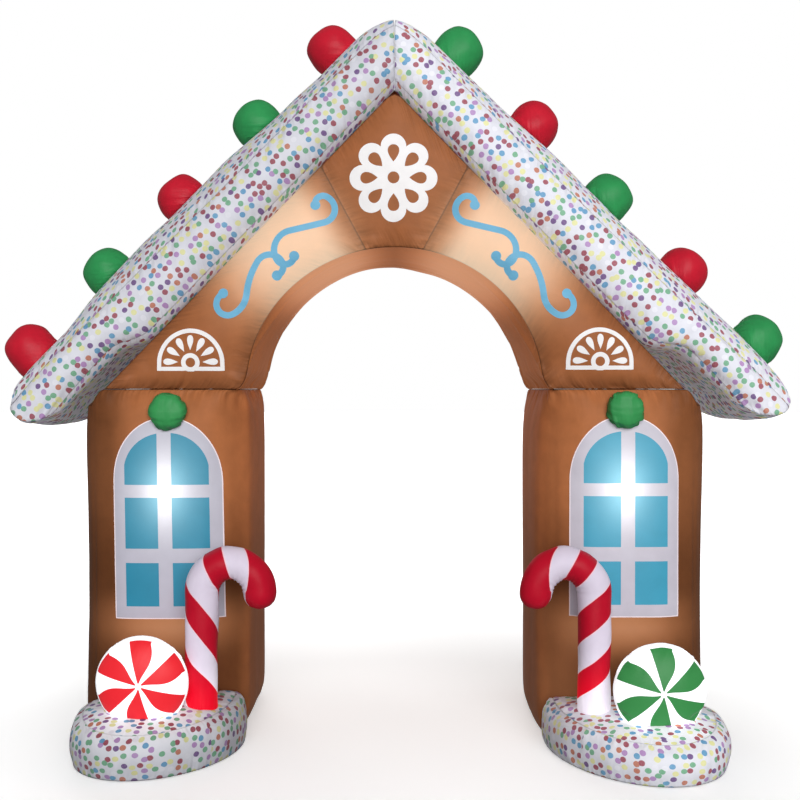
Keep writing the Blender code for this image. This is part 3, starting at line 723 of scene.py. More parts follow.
def makePlain(name, colour, lamps=(), glow=(255, 255, 255)):
    recipe = Recipe(name)
    place, creaseShadeShare = addWeave(recipe, crinkle=0.12)
    # painted shade: darker in the creases
    recipe.coat(recipe.mix(creaseShadeShare, *[toned(colour, share) for share in plain["creasesAndShade"]]), *plain["finish"])
    if lamps:
        light = recipe.math("MINIMUM", lampGlow(recipe, place, lamps), 1.0)
        recipe.shine(recipe.mix(light, (0, 0, 0, 1), srgb(*glow)))
    return recipe.material


windowLamp = {"left": (-0.866, 0.952), "right": (0.868, 0.960), "core": (0.075, 0.3, 0.11), "halo": (0.15, 0.3, 0.20)}
# the window's own white and blue, with painted shade: the left copies are darker than the right
windowTonesAndShade = {"left": ((186, 184, 197), (44, 136, 166)), "right": ((198, 193, 205), (64, 158, 188))}


def makeWindowCloth(name, side, colour, core, halo, **more):
    x, z = windowLamp[side]
    lamps = [{"at": (x, frontY - 0.03, z), "size": windowLamp[key], "strength": strength, "edge": 2.0}
             for key, strength in (("core", core), ("halo", halo))]
    return makePlain(name + "_" + side, colour, lamps, **more)


windowCloths = {side: (makeWindowCloth("windowHem", side, (248, 232, 236), 0.3, 0.25),
                       makeWindowCloth("windowWhite", side, windowTonesAndShade[side][0], 0.60, 0.28),
                       makeWindowCloth("windowBlue", side, windowTonesAndShade[side][1], 0.42, 0.20, glow=(205, 246, 255)))
                for side in bothSides}
whitePrint = makePlain("whitePrint", (250, 246, 246))
bluePrint = makePlain("bluePrint", (112, 180, 214))
report("finishes")


# Gable: front and rear each have two side panels and a centre panel, sewn to a tunnel strip

gable = {"sideRows": 52, "centreRows": 8, "faceCells": 24, "tunnelCells": 34, "crowding": 1.35,
         "outerTurn": math.radians(71.7), "innerTurn": math.radians(78.9),
         "sideSwell": 0.046, "centreSwell": 0.026, "draw": (0.003, 0.018),
         "tunnelSwell": {"crown": 0.016, "left": 0.050, "right": 0.062, "shoulder": 0.7, "foot": 0.12},
         "pinch": (0.040, 0.075), "pinchReach": 0.10, "middle": (0, 0, 1.95), "seed": 3,
         "gathers": {"least": 0.55, "foot": 0.9, "footReach": 0.30, "crown": 0.4, "crownReach": 0.3},
         "air": {"pressure": 6, "slack": 0.006, "limit": 0.020, "steps": 16},
         "pucker": {"depth": 0.0040, "reach": 0.020, "wave": 0.024, "fold": 0.006, "foldScale": (4, 4, 3)}}


def archPoint(turn):
    return Vector((-house["archHalf"] * math.cos(turn), 0, house["seamHeight"] + house["archRise"] * math.sin(turn)))


def slopePoint(turn):
    apex, slope = house["roofUnder"][:2]
    apex = apex - house["gap"] * math.hypot(1, slope) - house["seamHeight"]
    reach = apex / (math.sin(turn) + slope * abs(math.cos(turn)))
    return Vector((-reach * math.cos(turn), 0, house["seamHeight"] + reach * math.sin(turn)))


def gableTurns():
    half = []
    for row in range(gable["sideRows"]):
        share = (row / gable["sideRows"]) ** gable["crowding"]
        half.append((share * gable["outerTurn"], share * gable["innerTurn"], 2 * share - 1))
    for row in range(gable["centreRows"] + 1):
        share = row / gable["centreRows"]
        half.append((gable["outerTurn"] + share * (math.pi / 2 - gable["outerTurn"]),
                     gable["innerTurn"] + share * (math.pi / 2 - gable["innerTurn"]), share - 1))
    return half + [(math.pi - outer, math.pi - inner, -place) for outer, inner, place in half[-2::-1]]


turns = gableTurns()


def tucked(point):  # drawn in at the seam with the legs
    over = point.z - house["seamHeight"]
    point.y *= 1 - drawnIn(over, *gable["draw"]) / (house["depth"] / 2)
    inner = blend(gable["pinchReach"], 0.0, abs(point.x) - house["archHalf"])
    point.x += math.copysign(inner * drawnIn(over, *gable["pinch"]), point.x)
    return point


def gableFace(first, last, side, swell):
    def place(u, v):
        outer, inner, across = turns[first + round(u * (last - first))]
        point = archPoint(inner).lerp(slopePoint(outer), v)
        rise = swell * pillow(2 * v - 1) * pillow(across, 3.0)
        return tucked(Vector((point.x, side * (house["depth"] / 2 + rise), point.z)))
    return place


def gableTunnel(u, v):
    turn = turns[round(u * (len(turns) - 1))][1]
    point = archPoint(turn)
    outward = (point - Vector((0, 0, house["seamHeight"]))).normalized()
    swells = gable["tunnelSwell"]
    shoulder = abs(math.sin(2 * turn)) ** swells["shoulder"]
    swell = swells["crown"] + shoulder * (swells["left" if turn < math.pi / 2 else "right"] - swells["crown"])
    point -= outward * swell * pillow(2 * v - 1) * blend(0.0, swells["foot"], math.sin(turn))
    return tucked(Vector((point.x, (2 * v - 1) * house["depth"] / 2, point.z)))


def gableSlope(first, last):
    def place(u, v):
        point = slopePoint(turns[first + round(u * (last - first))][0])
        return tucked(Vector((point.x, (2 * v - 1) * house["depth"] / 2, point.z)))
    return place


def gableUnderside(sign):
    def place(u, v):
        point = archPoint(0).lerp(slopePoint(0), u)
        return tucked(Vector((-sign * point.x, (2 * v - 1) * house["depth"] / 2, point.z + house["gap"] / 2)))
    return place


def makeGable():
    cloths = (gingerbread, gingerbreadDark, gingerbreadTunnel)
    side, whole = gable["sideRows"], len(turns) - 1
    centre = Vector(gable["middle"])
    faceCells, tunnelCells = gable["faceCells"], gable["tunnelCells"]

    def strength(x, y, z):  # stronger gathers in the tunnel's crown and beside the leg seam
        share = gable["gathers"]
        foot = blend(share["footReach"], 0.05, z - house["seamHeight"])
        return share["least"] + share["foot"] * foot + share["crown"] * blend(share["crownReach"], 0.1, abs(x))

    filled = {"centre": centre, "cloths": cloths, "pucker": strength}
    flat = {"centre": centre, "cloths": cloths, "pucker": 0.0, "held": True}
    panels = []
    for rear in (-1, 1):
        for first, last, swell, finish in ((0, side, "sideSwell", 0), (side, whole - side, "centreSwell", 1),
                                           (whole - side, whole, "sideSwell", 0)):
            panels.append(cutPanel((last - first, faceCells), gableFace(first, last, rear, gable[swell]),
                                   finish=finish, **filled))
    panels.append(cutPanel((whole, tunnelCells), gableTunnel, finish=2, **filled))
    for first, last in ((0, whole // 2), (whole // 2, whole)):
        panels.append(cutPanel((last - first, tunnelCells), gableSlope(first, last), **flat))
    for sign in (1, -1):
        panels.append(cutPanel((faceCells, tunnelCells), gableUnderside(sign), **flat))
    return makeCloth("gableCloth", panels, gable, gable["seed"], "gable", "gingerbread_cloth")


# Legs: one strip sewn round, with a flat foot and a top under the gable

leg = {"across": 29, "deep": 38, "rows": 62, "crowding": 1.35, "corner": 0.078, "seed": {"left": 11, "right": 12},
       "frontSwell": 0.030, "sideSwell": 0.019, "innerSwell": {"left": 0.019, "right": 0.032}, "draw": (0.003, 0.018),
       "ground": {"left": (0.022, 0.060), "right": (0.006, 0.030)}, "footDraw": {"left": 0.80, "right": 0.10},
       "fold": (0.450, 0.010, 0.018), "taper": 0.010, "taperFrom": (1.25, 0.5), "outward": 0.017, "middle": 0.65,
       "gathers": (0.35, 1.1), "gathersFrom": (1.20, 1.32),
       "air": {"pressure": 5, "slack": 0.005, "limit": 0.014, "steps": 16},
       "pucker": {"depth": 0.0045, "reach": 0.024, "wave": 0.026, "fold": 0.010, "foldScale": (7, 7, 1.1)}}
legHalf = (house["legOuter"] - house["legInner"]) / 2
legMiddle = (house["legOuter"] + house["legInner"]) / 2


def legTop(x):
    apex, slope = house["roofUnder"][:2]
    return min(house["seamHeight"], apex - slope * abs(x)) - house["gap"]


def legPoint(side, across, deep, share):
    top = legTop(legMiddle + across * legHalf)
    z = share * top
    seam, ground = drawnIn(top - z, *leg["draw"]), drawnIn(z, *leg["ground"][side])
    wide, depth = legHalf - seam - ground, house["depth"] / 2 - seam - ground
    x, y = rounded(across * wide, deep * depth, wide, depth, leg["corner"])
    x += max(0.0, across) * (leg["outward"] + seam)
    lengthwise = pillow(2 * share - 1, 8)
    if abs(across) > 0.999:
        swell = leg["sideSwell"] if across > 0 else leg["innerSwell"][side]
        footwise = 1 - leg["footDraw"][side] * abs(2 * share - 1) ** 24
        x += across * swell * pillow(deep) * (lengthwise if share > 0.5 else footwise)
        if across > 0:
            x -= leg["taper"] * blend(*leg["taperFrom"], z)
    if abs(deep) > 0.999:
        height, depthOfFold, width = leg["fold"]
        fold = math.exp(-((z - height) / width) ** 2)
        y += deep * (leg["frontSwell"] * pillow(across) * lengthwise - depthOfFold * fold * pillow(across, 8))
    return Vector((signOf[side] * (legMiddle + x), y, z))


def legWall(side):
    wide, deep = leg["across"], leg["deep"]

    def place(u, v):
        step = round(u * 2 * (wide + deep)) % (2 * (wide + deep))
        if step < wide:
            spot = (2 * step / wide - 1, 1)
        elif step < wide + deep:
            spot = (1, 1 - 2 * (step - wide) / deep)
        elif step < 2 * wide + deep:
            spot = (1 - 2 * (step - wide - deep) / wide, -1)
        else:
            spot = (-1, 2 * (step - 2 * wide - deep) / deep - 1)
        return legPoint(side, *spot, crowded(v, leg["crowding"]))
    return place


def makeLeg(side):
    centre = Vector((signOf[side] * legMiddle, 0, leg["middle"]))
    wide, deep = leg["across"], leg["deep"]

    def strength(x, y, z):  # stronger gathers under the gable
        return leg["gathers"][0] + leg["gathers"][1] * blend(*leg["gathersFrom"], z)

    panels = [cutPanel((2 * (wide + deep), leg["rows"]), legWall(side), centre, seams=(0, 0, 1, 1),
                       pucker=strength, cloths=(legCloth,))]
    for share in (0, 1):
        panels.append(cutPanel((wide, deep), lambda u, v: legPoint(side, 2 * u - 1, 2 * v - 1, share), centre,
                               held=True, pucker=0.0, cloths=(legCloth,)))
    return makeCloth("legCloth_" + side, panels, leg, leg["seed"][side], "leg_" + side, "gingerbread_cloth")


# Roof: two padded slabs that meet in a mitre seam

roof = {"along": 96, "up": 14, "across": 42, "depth": 0.88, "corner": 0.092, "faceSwell": 0.012,
        "topSwell": {"left": 0.095, "right": 0.084}, "ridgeSwell": 0.68, "ridgeReach": (0.3, 0.9), "scallop": 0.03,
        "endSwell": {"left": 0.50, "right": 1.0}, "endFrom": (0.76, 0.88), "eaveFrom": 0.86, "eaveLong": 0.14,
        "eaveRound": {"left": 0.142, "right": 0.113}, "eaveSwell": 0.030, "eaveFlat": 0.45,
        "eaveLift": {"left": 0.084, "right": 0.104}, "liftFrom": (0.74, 0.88),
        "bend": {"left": 0.004, "right": 0.038}, "lean": {"left": 0.002, "right": -0.004},
        "dip": (0.031, 0.170), "dipFlat": 0.7, "tuck": (0.010, 0.025), "tuckShare": 0.75,
        "gumdropFirst": 0.214, "gumdropPitch": 0.437, "stretch": {"left": 1.00, "right": 1.035},
        "gathers": (0.15, 0.65), "gathersFrom": (0.02, 0.12), "printRun": 3, "printRise": {"left": 5, "right": 9},
        "seed": {"left": 21, "right": 22},
        "air": {"pressure": 7, "slack": 0.007, "limit": 0.012, "steps": 16},
        "pucker": {"depth": 0.0065, "reach": 0.022, "wave": 0.022, "fold": 0.005, "foldScale": (6, 6, 6)}}


def roofLine(plane, along, side):
    apex, slope, end = house[plane]
    x = end * roof["stretch"][side] * along
    return Vector((x, 0, apex - slope * x))


def slopeLength(side):
    return house["roofTop"][2] * roof["stretch"][side] * math.hypot(1, house["roofTop"][1])


def roofPoint(side, along, across, up):
    rise = roofLine("roofTop", 1, side) - roofLine("roofUnder", 1, side)
    outward = Vector((rise.z, 0, -rise.x)).normalized()
    upward = Vector((house["roofTop"][1], 0, 1)).normalized()
    half, wide = rise.length / 2, roof["depth"] / 2
    y, level = rounded(across * wide, (2 * up - 1) * half, wide, half, roof["corner"])
    under, over = roofLine("roofUnder", along, side), roofLine("roofTop", along, side)
    point = under.lerp(over, (level / half + 1) / 2)
    fromRidge = along * slopeLength(side)
    nearEave = max(0.0, (along - roof["eaveFrom"]) / roof["eaveLong"]) ** 2
    roundEnd = math.sqrt(max(0.0, 1 - (level / half) ** 2))
    point += outward * (roof["eaveRound"][side] + roof["eaveSwell"] * pillow(across)) * roundEnd * nearEave
    point += outward * roof["lean"][side] * (0.5 - up) * 2 * nearEave
    dip = max(0.0, 1 - fromRidge / roof["dip"][1]) ** 2
    point.z -= roof["dip"][0] * dip * up
    point.z += roof["eaveLift"][side] * blend(*roof["liftFrom"], along) * (1 - up)
    point.z += roof["bend"][side] * max(0.0, 2 * along - 1) ** 2
    if up > 0.999:
        wave = fromRidge - roof["gumdropFirst"]
        wave = 1 - roof["scallop"] * math.cos(math.tau * wave / roof["gumdropPitch"])
        wave *= 1 - (1 - roof["endSwell"][side]) * blend(*roof["endFrom"], along)
        wave *= roof["ridgeSwell"] + (1 - roof["ridgeSwell"]) * blend(*roof["ridgeReach"], fromRidge)
        swell = upward * roof["topSwell"][side] * pillow(across, 2.0) * wave
        point += swell * (1 - roof["dipFlat"] * dip) * (1 - roof["eaveFlat"] * nearEave)
    if abs(across) > 0.999:
        tuck = drawnIn(fromRidge, *roof["tuck"]) * (1 - roof["tuckShare"] * up)
        y += across * (roof["faceSwell"] * pillow(2 * up - 1) * (1 - dip) * (1 - nearEave) - tuck)
    return Vector((signOf[side] * max(point.x, house["gap"] / 2), y, point.z))


def makeRoof(side):
    centre = roofPoint(side, 0.5, 0, 0.5)
    along, up, across = roof["along"], roof["up"], roof["across"]
    pitch = math.atan(house["roofTop"][1])

    def strength(x, y, z):  # weaker gathers at the ridge
        return roof["gathers"][0] + roof["gathers"][1] * blend(*roof["gathersFrom"], abs(x))

    def straight(x, y, z):  # the print runs straight down the slope
        return (abs(x) * math.cos(pitch) - z * math.sin(pitch) + roof["printRun"],
                abs(x) * math.sin(pitch) + z * math.cos(pitch) + roof["printRise"][side])

    filled = {"centre": centre, "pucker": strength, "cloths": (sprinkle[side],)}
    flat = {"centre": centre, "pucker": 0.0, "held": True, "cloths": (sprinkle[side],)}
    panels = [cutPanel((along, up), lambda u, v: roofPoint(side, u, -1, v), flatten=straight, **filled),
              cutPanel((along, up), lambda u, v: roofPoint(side, u, 1, v), flatten=straight, **filled),
              cutPanel((along, across), lambda u, v: roofPoint(side, u, 2 * v - 1, 1), seams=(1, 0, 1, 1), **filled),
              cutPanel((along, across), lambda u, v: roofPoint(side, u, 2 * v - 1, 0), seams=(0, 0, 1, 1), **flat),
              cutPanel((up, across), lambda u, v: roofPoint(side, 1, 2 * v - 1, u), seams=(0, 0, 1, 1), **filled),
              cutPanel((up, across), lambda u, v: roofPoint(side, 0, 2 * v - 1, u), **flat)]
    return makeCloth("roofCloth_" + side, panels, roof, roof["seed"][side], "roof_" + side, "sprinkle_cloth")


# Round pieces: a square grid is pulled to a disc, so that a round panel has no pole

def discSpot(u, v):
    a, b = 2 * u - 1, 2 * v - 1
    if abs(a) < 1e-9 and abs(b) < 1e-9:
        return 0.0, 0.0
    if abs(a) > abs(b):
        share, turn = a, math.pi / 4 * b / a
    else:
        share, turn = b, math.pi / 2 - math.pi / 4 * a / b
    x, y = share * math.cos(turn), share * math.sin(turn)
    return min(1.0, math.hypot(x, y)), math.atan2(y, x)


def smoothRow(points, steps=12):  # a soft line through a profile's points
    ends = [points[0]] + list(points) + [points[-1]]
    line = []
    for a, b, c, d in zip(ends, ends[1:], ends[2:], ends[3:]):
        for step in range(steps):
            t = step / steps
            line.append(tuple(0.5 * (2 * q + (r - p) * t + (2 * p - 5 * q + 4 * r - s) * t * t
                                     + (3 * q - p - 3 * r + s) * t ** 3) for p, q, r, s in zip(a, b, c, d)))
    return np.array(line + [tuple(points[-1])])


def alongRow(line, share):  # a point a share of the way along the line
    run = np.concatenate([[0], np.cumsum(np.linalg.norm(np.diff(line, axis=0), axis=1))])
    return [float(np.interp(share * run[-1], run, line[:, axis])) for axis in range(line.shape[1])]


def surfaceOf(piece):
    mesh = piece.data
    return BVHTree.FromPolygons([vertex.co for vertex in mesh.vertices], [face.vertices[:] for face in mesh.polygons])


def dropped(surface, point, direction, back=0.4):  # where a point meets a surface, in the house's coordinates
    start = Vector(point) + middle - Vector(direction) * back
    hit = surface.ray_cast(start, Vector(direction))[0]
    return None if hit is None else hit - middle


def keepAbove(piece, surface):  # what would sink into its support lies on it
    gap, wellAbove = 0.0008, 1.2
    for vertex in piece.data.vertices:
        hit = surface.ray_cast(Vector((vertex.co.x, vertex.co.y, wellAbove)), Vector((0, 0, -1)))[0]
        if hit is not None and vertex.co.z < hit.z + gap:
            vertex.co.z = hit.z + gap
    piece.data.update()


# Bases: oval cushions in front of the legs

base = {"cells": 34, "band": 10, "bandFrom": 0.970, "bandTo": 0.87, "centreFromLeg": 0.11, "skew": 0.07,
        "back": 0.06, "fullness": 1.20, "fall": 0.31, "legClear": 0.004, "rows": 400, "middle": (0.18, 0.08),
        "gap": 0.001, "lift": 0.0002, "print": (2.3, 1.1), "seed": {"left": 31, "right": 32},
        "profile": ((0, 0), (0.5, 0), (0.925, 0), (0.972, 0.013), (0.995, 0.044), (1, 0.076), (0.988, 0.106),
                    (0.95, 0.134), (0.87, 0.148), (0.66, 0.157), (0.34, 0.161), (0, 0.162)),
        "left": {"x": 0.866, "half": 0.307, "reach": 0.500, "scale": 1.07},
        "right": {"x": 0.882, "half": 0.325, "reach": 0.564, "scale": 0.95},
        "air": {"pressure": 5, "slack": 0.006, "limit": 0.008, "steps": 12},
        "pucker": {"depth": 0.0040, "reach": 0.022, "wave": 0.026, "fold": 0.008, "foldScale": (9, 9, 3)}}


def basePoint(side, share, turn, height):
    sizes = base[side]
    before, behind = sizes["reach"] - base["centreFromLeg"], base["back"] + base["centreFromLeg"]
    far = base["skew"] * math.cos(turn) - math.sin(turn) * (before if math.sin(turn) < 0 else behind)
    if far < 0:  # the outline stops at the leg
        share *= min(1.0, (base["centreFromLeg"] - base["legClear"]) / -far)
    fromLeg = base["centreFromLeg"] + share * far
    fall = base["fullness"] - base["fall"] * max(0.0, fromLeg) / sizes["reach"]
    x = signOf[side] * (sizes["x"] + share * math.cos(turn) * sizes["half"])
    return Vector((x, frontY - fromLeg, height * fall * sizes["scale"]))


def makeBase(side, legSurface):
    line = smoothRow(base["profile"])
    rows = [tuple(alongRow(line, step / base["rows"])) for step in range(base["rows"] + 1)]
    widest = max(range(len(rows)), key=lambda index: rows[index][0])
    low = next(index for index, row in enumerate(rows) if row[0] >= base["bandFrom"])
    top = next(index for index, row in enumerate(rows) if index > widest and row[0] <= base["bandTo"])
    cells = base["cells"]
    around = []
    for step in range(4 * cells):  # the disc's border, walked round
        edge, place = divmod(step, cells)
        share = place / cells
        around.append(discSpot(*((share, 0), (1, share), (1 - share, 1), (0, 1 - share))[edge])[1])

    def bottomPlace(u, v):
        share, turn = discSpot(u, v)
        return basePoint(side, share * rows[low][0], turn, rows[low][1] * share ** 6)

    inward, heights = [-row[0] for row in rows[top:]], [row[1] for row in rows[top:]]

    def topPlace(u, v):
        share, turn = discSpot(u, v)
        share *= rows[top][0]
        return basePoint(side, share, turn, float(np.interp(-share, inward, heights)))

    def bandPlace(u, v):
        turn = around[round(u * 4 * cells) % (4 * cells)]
        share, height = rows[round(low + v * (top - low))]
        return basePoint(side, share, turn, height)

    fromLeg, height = base["middle"]
    centre = Vector((signOf[side] * base[side]["x"], frontY - fromLeg, height))
    cloths = (sprinkleLit[side],)
    printX, printY = base["print"]
    panels = [cutPanel((cells, cells), bottomPlace, centre, held=True, pucker=0.0, cloths=cloths),
              cutPanel((4 * cells, base["band"]), bandPlace, centre, seams=(0, 0, 1, 1), cloths=cloths,
                       even=True),
              cutPanel((cells, cells), topPlace, centre, pucker=1.1, cloths=cloths,
                       flatten=lambda x, y, z: (x + printX, y + printY))]

    def settle(piece):  # on the ground, and in front of the leg
        wellBefore = -2.0
        for vertex in piece.data.vertices:
            vertex.co.z = max(vertex.co.z, base["lift"])
            hit = legSurface.ray_cast(Vector((vertex.co.x, wellBefore, vertex.co.z)), Vector((0, 1, 0)))[0]
            if hit is not None and vertex.co.y > hit.y - base["gap"]:
                vertex.co.y = hit.y - base["gap"]

    return makeCloth("baseCloth_" + side, panels, base, base["seed"][side], "base_" + side, "sprinkle_cloth",
                     settle)


# Mints: two round panels sewn at the rim

mint = {"cells": 30, "radius": 0.166, "half": 0.066, "round": (2.3, 0.62), "seed": {"left": 41, "right": 42},
        "left": {"x": 0.900, "z": 0.293, "fromLeg": 0.300, "slot": "mint_red_cloth"},
        "right": {"x": 0.940, "z": 0.272, "fromLeg": 0.325, "slot": "mint_green_cloth"},
        "air": {"pressure": 5, "slack": 0.006, "limit": 0.007, "steps": 12},
        "leftPucker": {"depth": 0.0030, "reach": 0.018, "wave": 0.026},
        "rightPucker": {"depth": 0.0060, "reach": 0.020, "wave": 0.030}}


def mintPlace(side, facing):
    sizes = mint[side]
    flatness, roundness = mint["round"]

    def place(u, v):
        share, turn = discSpot(u, v)
        rise = (1 - share ** flatness) ** roundness * mint["half"] if share < 1 else 0.0
        return Vector((signOf[side] * sizes["x"] + share * math.cos(turn) * mint["radius"],
                       frontY - sizes["fromLeg"] + facing * rise,
                       sizes["z"] + share * math.sin(turn) * mint["radius"]))
    return place


def makeMint(side, baseSurface):
    sizes = mint[side]
    centre = Vector((signOf[side] * sizes["x"], frontY - sizes["fromLeg"], sizes["z"]))
    panels = [cutPanel((mint["cells"], mint["cells"]), mintPlace(side, facing), centre, cloths=(mintCloth[side],))
              for facing in (-1, 1)]
    return makeCloth("mintCloth_" + side, panels, mint, mint["seed"][side], "mint_" + side, sizes["slot"],
                     lambda piece: keepAbove(piece, baseSurface), side + "Pucker")


# Canes: a tube with a hook, and a blunt round tip

cane = {"radius": 0.0605, "hook": 0.106, "spring": 0.597, "fromLeg": 0.20, "foot": 0.13, "around": 26, "along": 110,
        "left": 0.704, "right": 0.728, "rows": (40, 36, 10), "tip": (1.05, 2.2), "gather": 0.006, "gatherPitch": 0.031,
        "gatherFrom": (-0.03, 0.04), "gatherTo": (0.37, 0.30), "gatherLevel": 0.35, "standing": 0.25, "gap": 0.001,
        "middle": 0.3, "wellAbove": 0.6, "seed": {"left": 51, "right": 52},
        "air": {"pressure": 6, "slack": 0.004, "limit": 0.0035, "steps": 10},
        "pucker": {"depth": 0.0020, "reach": 0.030, "wave": 0.026, "fold": 0.006, "foldScale": (16, 16, 8)}}


def canePath(side):
    sign = signOf[side]
    straight, bent, blunt = cane["rows"]
    long, roundness = cane["tip"]
    post = Vector((sign * cane[side], frontY - cane["fromLeg"], 0))
    centre = post + Vector((-sign * cane["hook"], 0, cane["spring"]))
    rows = [(post + Vector((0, 0, cane["foot"] + (cane["spring"] - cane["foot"]) * step / straight)), 1.0)
            for step in range(straight)]
    for step in range(bent + 1):
        turn = math.pi * step / bent
        rows.append((centre + Vector((sign * math.cos(turn), 0, math.sin(turn))) * cane["hook"], 1.0))
    tip = centre - Vector((sign * cane["hook"], 0, 0))
    for step in range(1, blunt + 1):
        share = math.sin(math.pi / 2 * step / blunt)
        rows.append((tip - Vector((0, 0, cane["radius"] * share * long)), max(0.0, 1 - share ** roundness) ** 0.5))
    return rows


def makeCane(side, baseSurface):
    rows = canePath(side)
    runs = [0.0]
    for (a, _), (b, _) in zip(rows, rows[1:]):
        runs.append(runs[-1] + (b - a).length)

    def pathAt(share):
        run = share * runs[-1]
        index = min(len(runs) - 2, int(np.searchsorted(runs, run, side="right")) - 1)
        part = min(1.0, max(0.0, (run - runs[index]) / (runs[index + 1] - runs[index])))
        before, after = rows[index], rows[index + 1]
        ahead = (after[0] - before[0]).normalized()
        return before[0].lerp(after[0], part), before[1] + part * (after[1] - before[1]), ahead

    def place(u, v):
        point, thick, ahead = pathAt(v)
        turn = math.tau * u
        level = Vector((0, 1, 0))
        aside = ahead.cross(level).normalized()
        inner = max(0.0, math.cos(turn - (math.pi if side == "left" else 0))) ** 2
        run = v * runs[-1] - (cane["spring"] - cane["foot"])
        bend = blend(*cane["gatherFrom"], run) * blend(*cane["gatherTo"], run)
        wave = abs(math.sin(run * math.pi / cane["gatherPitch"])) - cane["gatherLevel"]
        radius = cane["radius"] * thick + cane["gather"] * inner * bend * wave
        spot = point + (aside * math.cos(turn) + level * math.sin(turn)) * radius
        if v < cane["standing"]:  # the foot stands on the cushion
            ground = dropped(baseSurface, Vector((spot.x, spot.y, cane["wellAbove"])), (0, 0, -1), 0.2)
            low = (ground.z if ground else cane["foot"]) + cane["gap"]
            reach = cane["standing"] * runs[-1]
            spot.z = low + (spot.z - cane["foot"]) / reach * (cane["foot"] + reach - low)
        return spot

    tube = cutPanel((cane["around"], cane["along"]), place, rows[0][0] + Vector((0, 0, cane["middle"])),
                    seams=(0, 0, 1, 1), pucker=0.8, cloths=(caneCloth[side],), spread=(1.0, runs[-1]))
    return makeCloth("caneCloth_" + side, [tube], cane, cane["seed"][side], "cane_" + side, "candy_cloth")


# Gumdrops: flat-topped domes, gathered where they meet the roof or the leg

gumdrop = {"cells": 24, "middle": 0.02, "leastFit": 0.2,
           "rows": ((0.80, 0), (0.93, 0.08), (1, 0.36), (0.96, 0.62), (0.78, 0.85), (0.42, 0.975), (0, 1)),
           "roof": {"radius": 0.1005, "height": 0.168, "count": 5, "seed": {"left": 60, "right": 70}},
           "window": {"radius": 0.0705, "height": 0.060, "above": 0.021, "seed": {"left": 81, "right": 82}},
           "shift": {"left": (0, 0, 0, 0.008, -0.008), "right": (-0.012, -0.010, 0, 0, 0.006)},
           "out": {"left": (0, -0.018, -0.028, -0.028, 0.034), "right": (0.008, -0.008, -0.016, -0.016, 0.004)},
           "rim": {"depth": 0.0048, "reach": 0.030, "wave": 0.013},
           "air": {"pressure": 5, "slack": 0.006, "limit": 0.005, "steps": 10},
           "pucker": {"depth": 0.0042, "reach": 0.022, "wave": 0.017, "fold": 0.006, "foldScale": (13, 13, 13)}}


def makeGumdrop(name, node, colour, seat, outward, kind, surface, seed):
    size = gumdrop[kind]
    stand = Vector((0, 0, 1)).rotation_difference(outward).to_matrix()
    scaled = [(share * size["radius"], rise * size["height"]) for share, rise in gumdrop["rows"]]
    line = smoothRow(scaled)

    def lifted(x, y):  # the support's height under a point of the rim
        hit = dropped(surface, seat + stand @ Vector((x, y, 0)), -outward, 0.12)
        return (hit - seat).dot(outward) if hit else 0.0

    def domePlace(u, v):
        share, turn = discSpot(u, v)
        radius, rise = alongRow(line, 1 - share)
        x, y = radius * math.cos(turn), radius * math.sin(turn)
        low = (1 - rise / size["height"]) ** 3
        return seat + stand @ Vector((x, y, rise + (lifted(x, y) * low if low > gumdrop["leastFit"] else 0)))

    def footPlace(u, v):
        share, turn = discSpot(u, v)
        x, y = share * line[0][0] * math.cos(turn), share * line[0][0] * math.sin(turn)
        return seat + stand @ Vector((x, y, lifted(x, y)))

    cells, centre = (gumdrop["cells"], gumdrop["cells"]), seat + outward * gumdrop["middle"]
    cloths = (windowGreen if kind == "window" else {"red": redCloth, "green": greenCloth}[colour],)
    panels = [cutPanel(cells, domePlace, centre, cloths=cloths),
              cutPanel(cells, footPlace, centre, held=True, pucker=0.0, cloths=cloths)]
    rim = "rim" if kind == "window" else "pucker"
    makeCloth(name, panels, gumdrop, seed, node, colour + "_cloth", pucker=rim)


def makeRoofGumdrops(side, surface):
    outward = Vector((signOf[side] * house["roofTop"][1], 0, 1)).normalized()
    for index in range(gumdrop["roof"]["count"]):
        along = roof["gumdropFirst"] + index * roof["gumdropPitch"] - gumdrop["shift"][side][index]
        seat = dropped(surface, roofPoint(side, along / slopeLength(side), 0, 1), -outward)
        seat += outward * gumdrop["out"][side][index]
        red = (index % 2 == 0) == (side == "left")
        name = "%s_%d" % (side, index + 1)
        makeGumdrop("gumdropCloth_" + name, "gumdrop_" + name, "red" if red else "green", seat, outward, "roof",
                    surface, gumdrop["roof"]["seed"][side] + index)


def makeWindowGumdrop(side, surface):
    top = window[side]["bottom"] + window["height"] + gumdrop["window"]["above"]
    seat = dropped(surface, Vector((signOf[side] * window[side]["x"], frontY, top)), (0, 1, 0))
    makeGumdrop("windowGumdropCloth_" + side, "window_gumdrop_" + side, "green", seat, Vector((0, -1, 0)), "window",
                surface, gumdrop["window"]["seed"][side])


# Flat shapes: drawn as outlines, diced fine and laid on the filled cloth

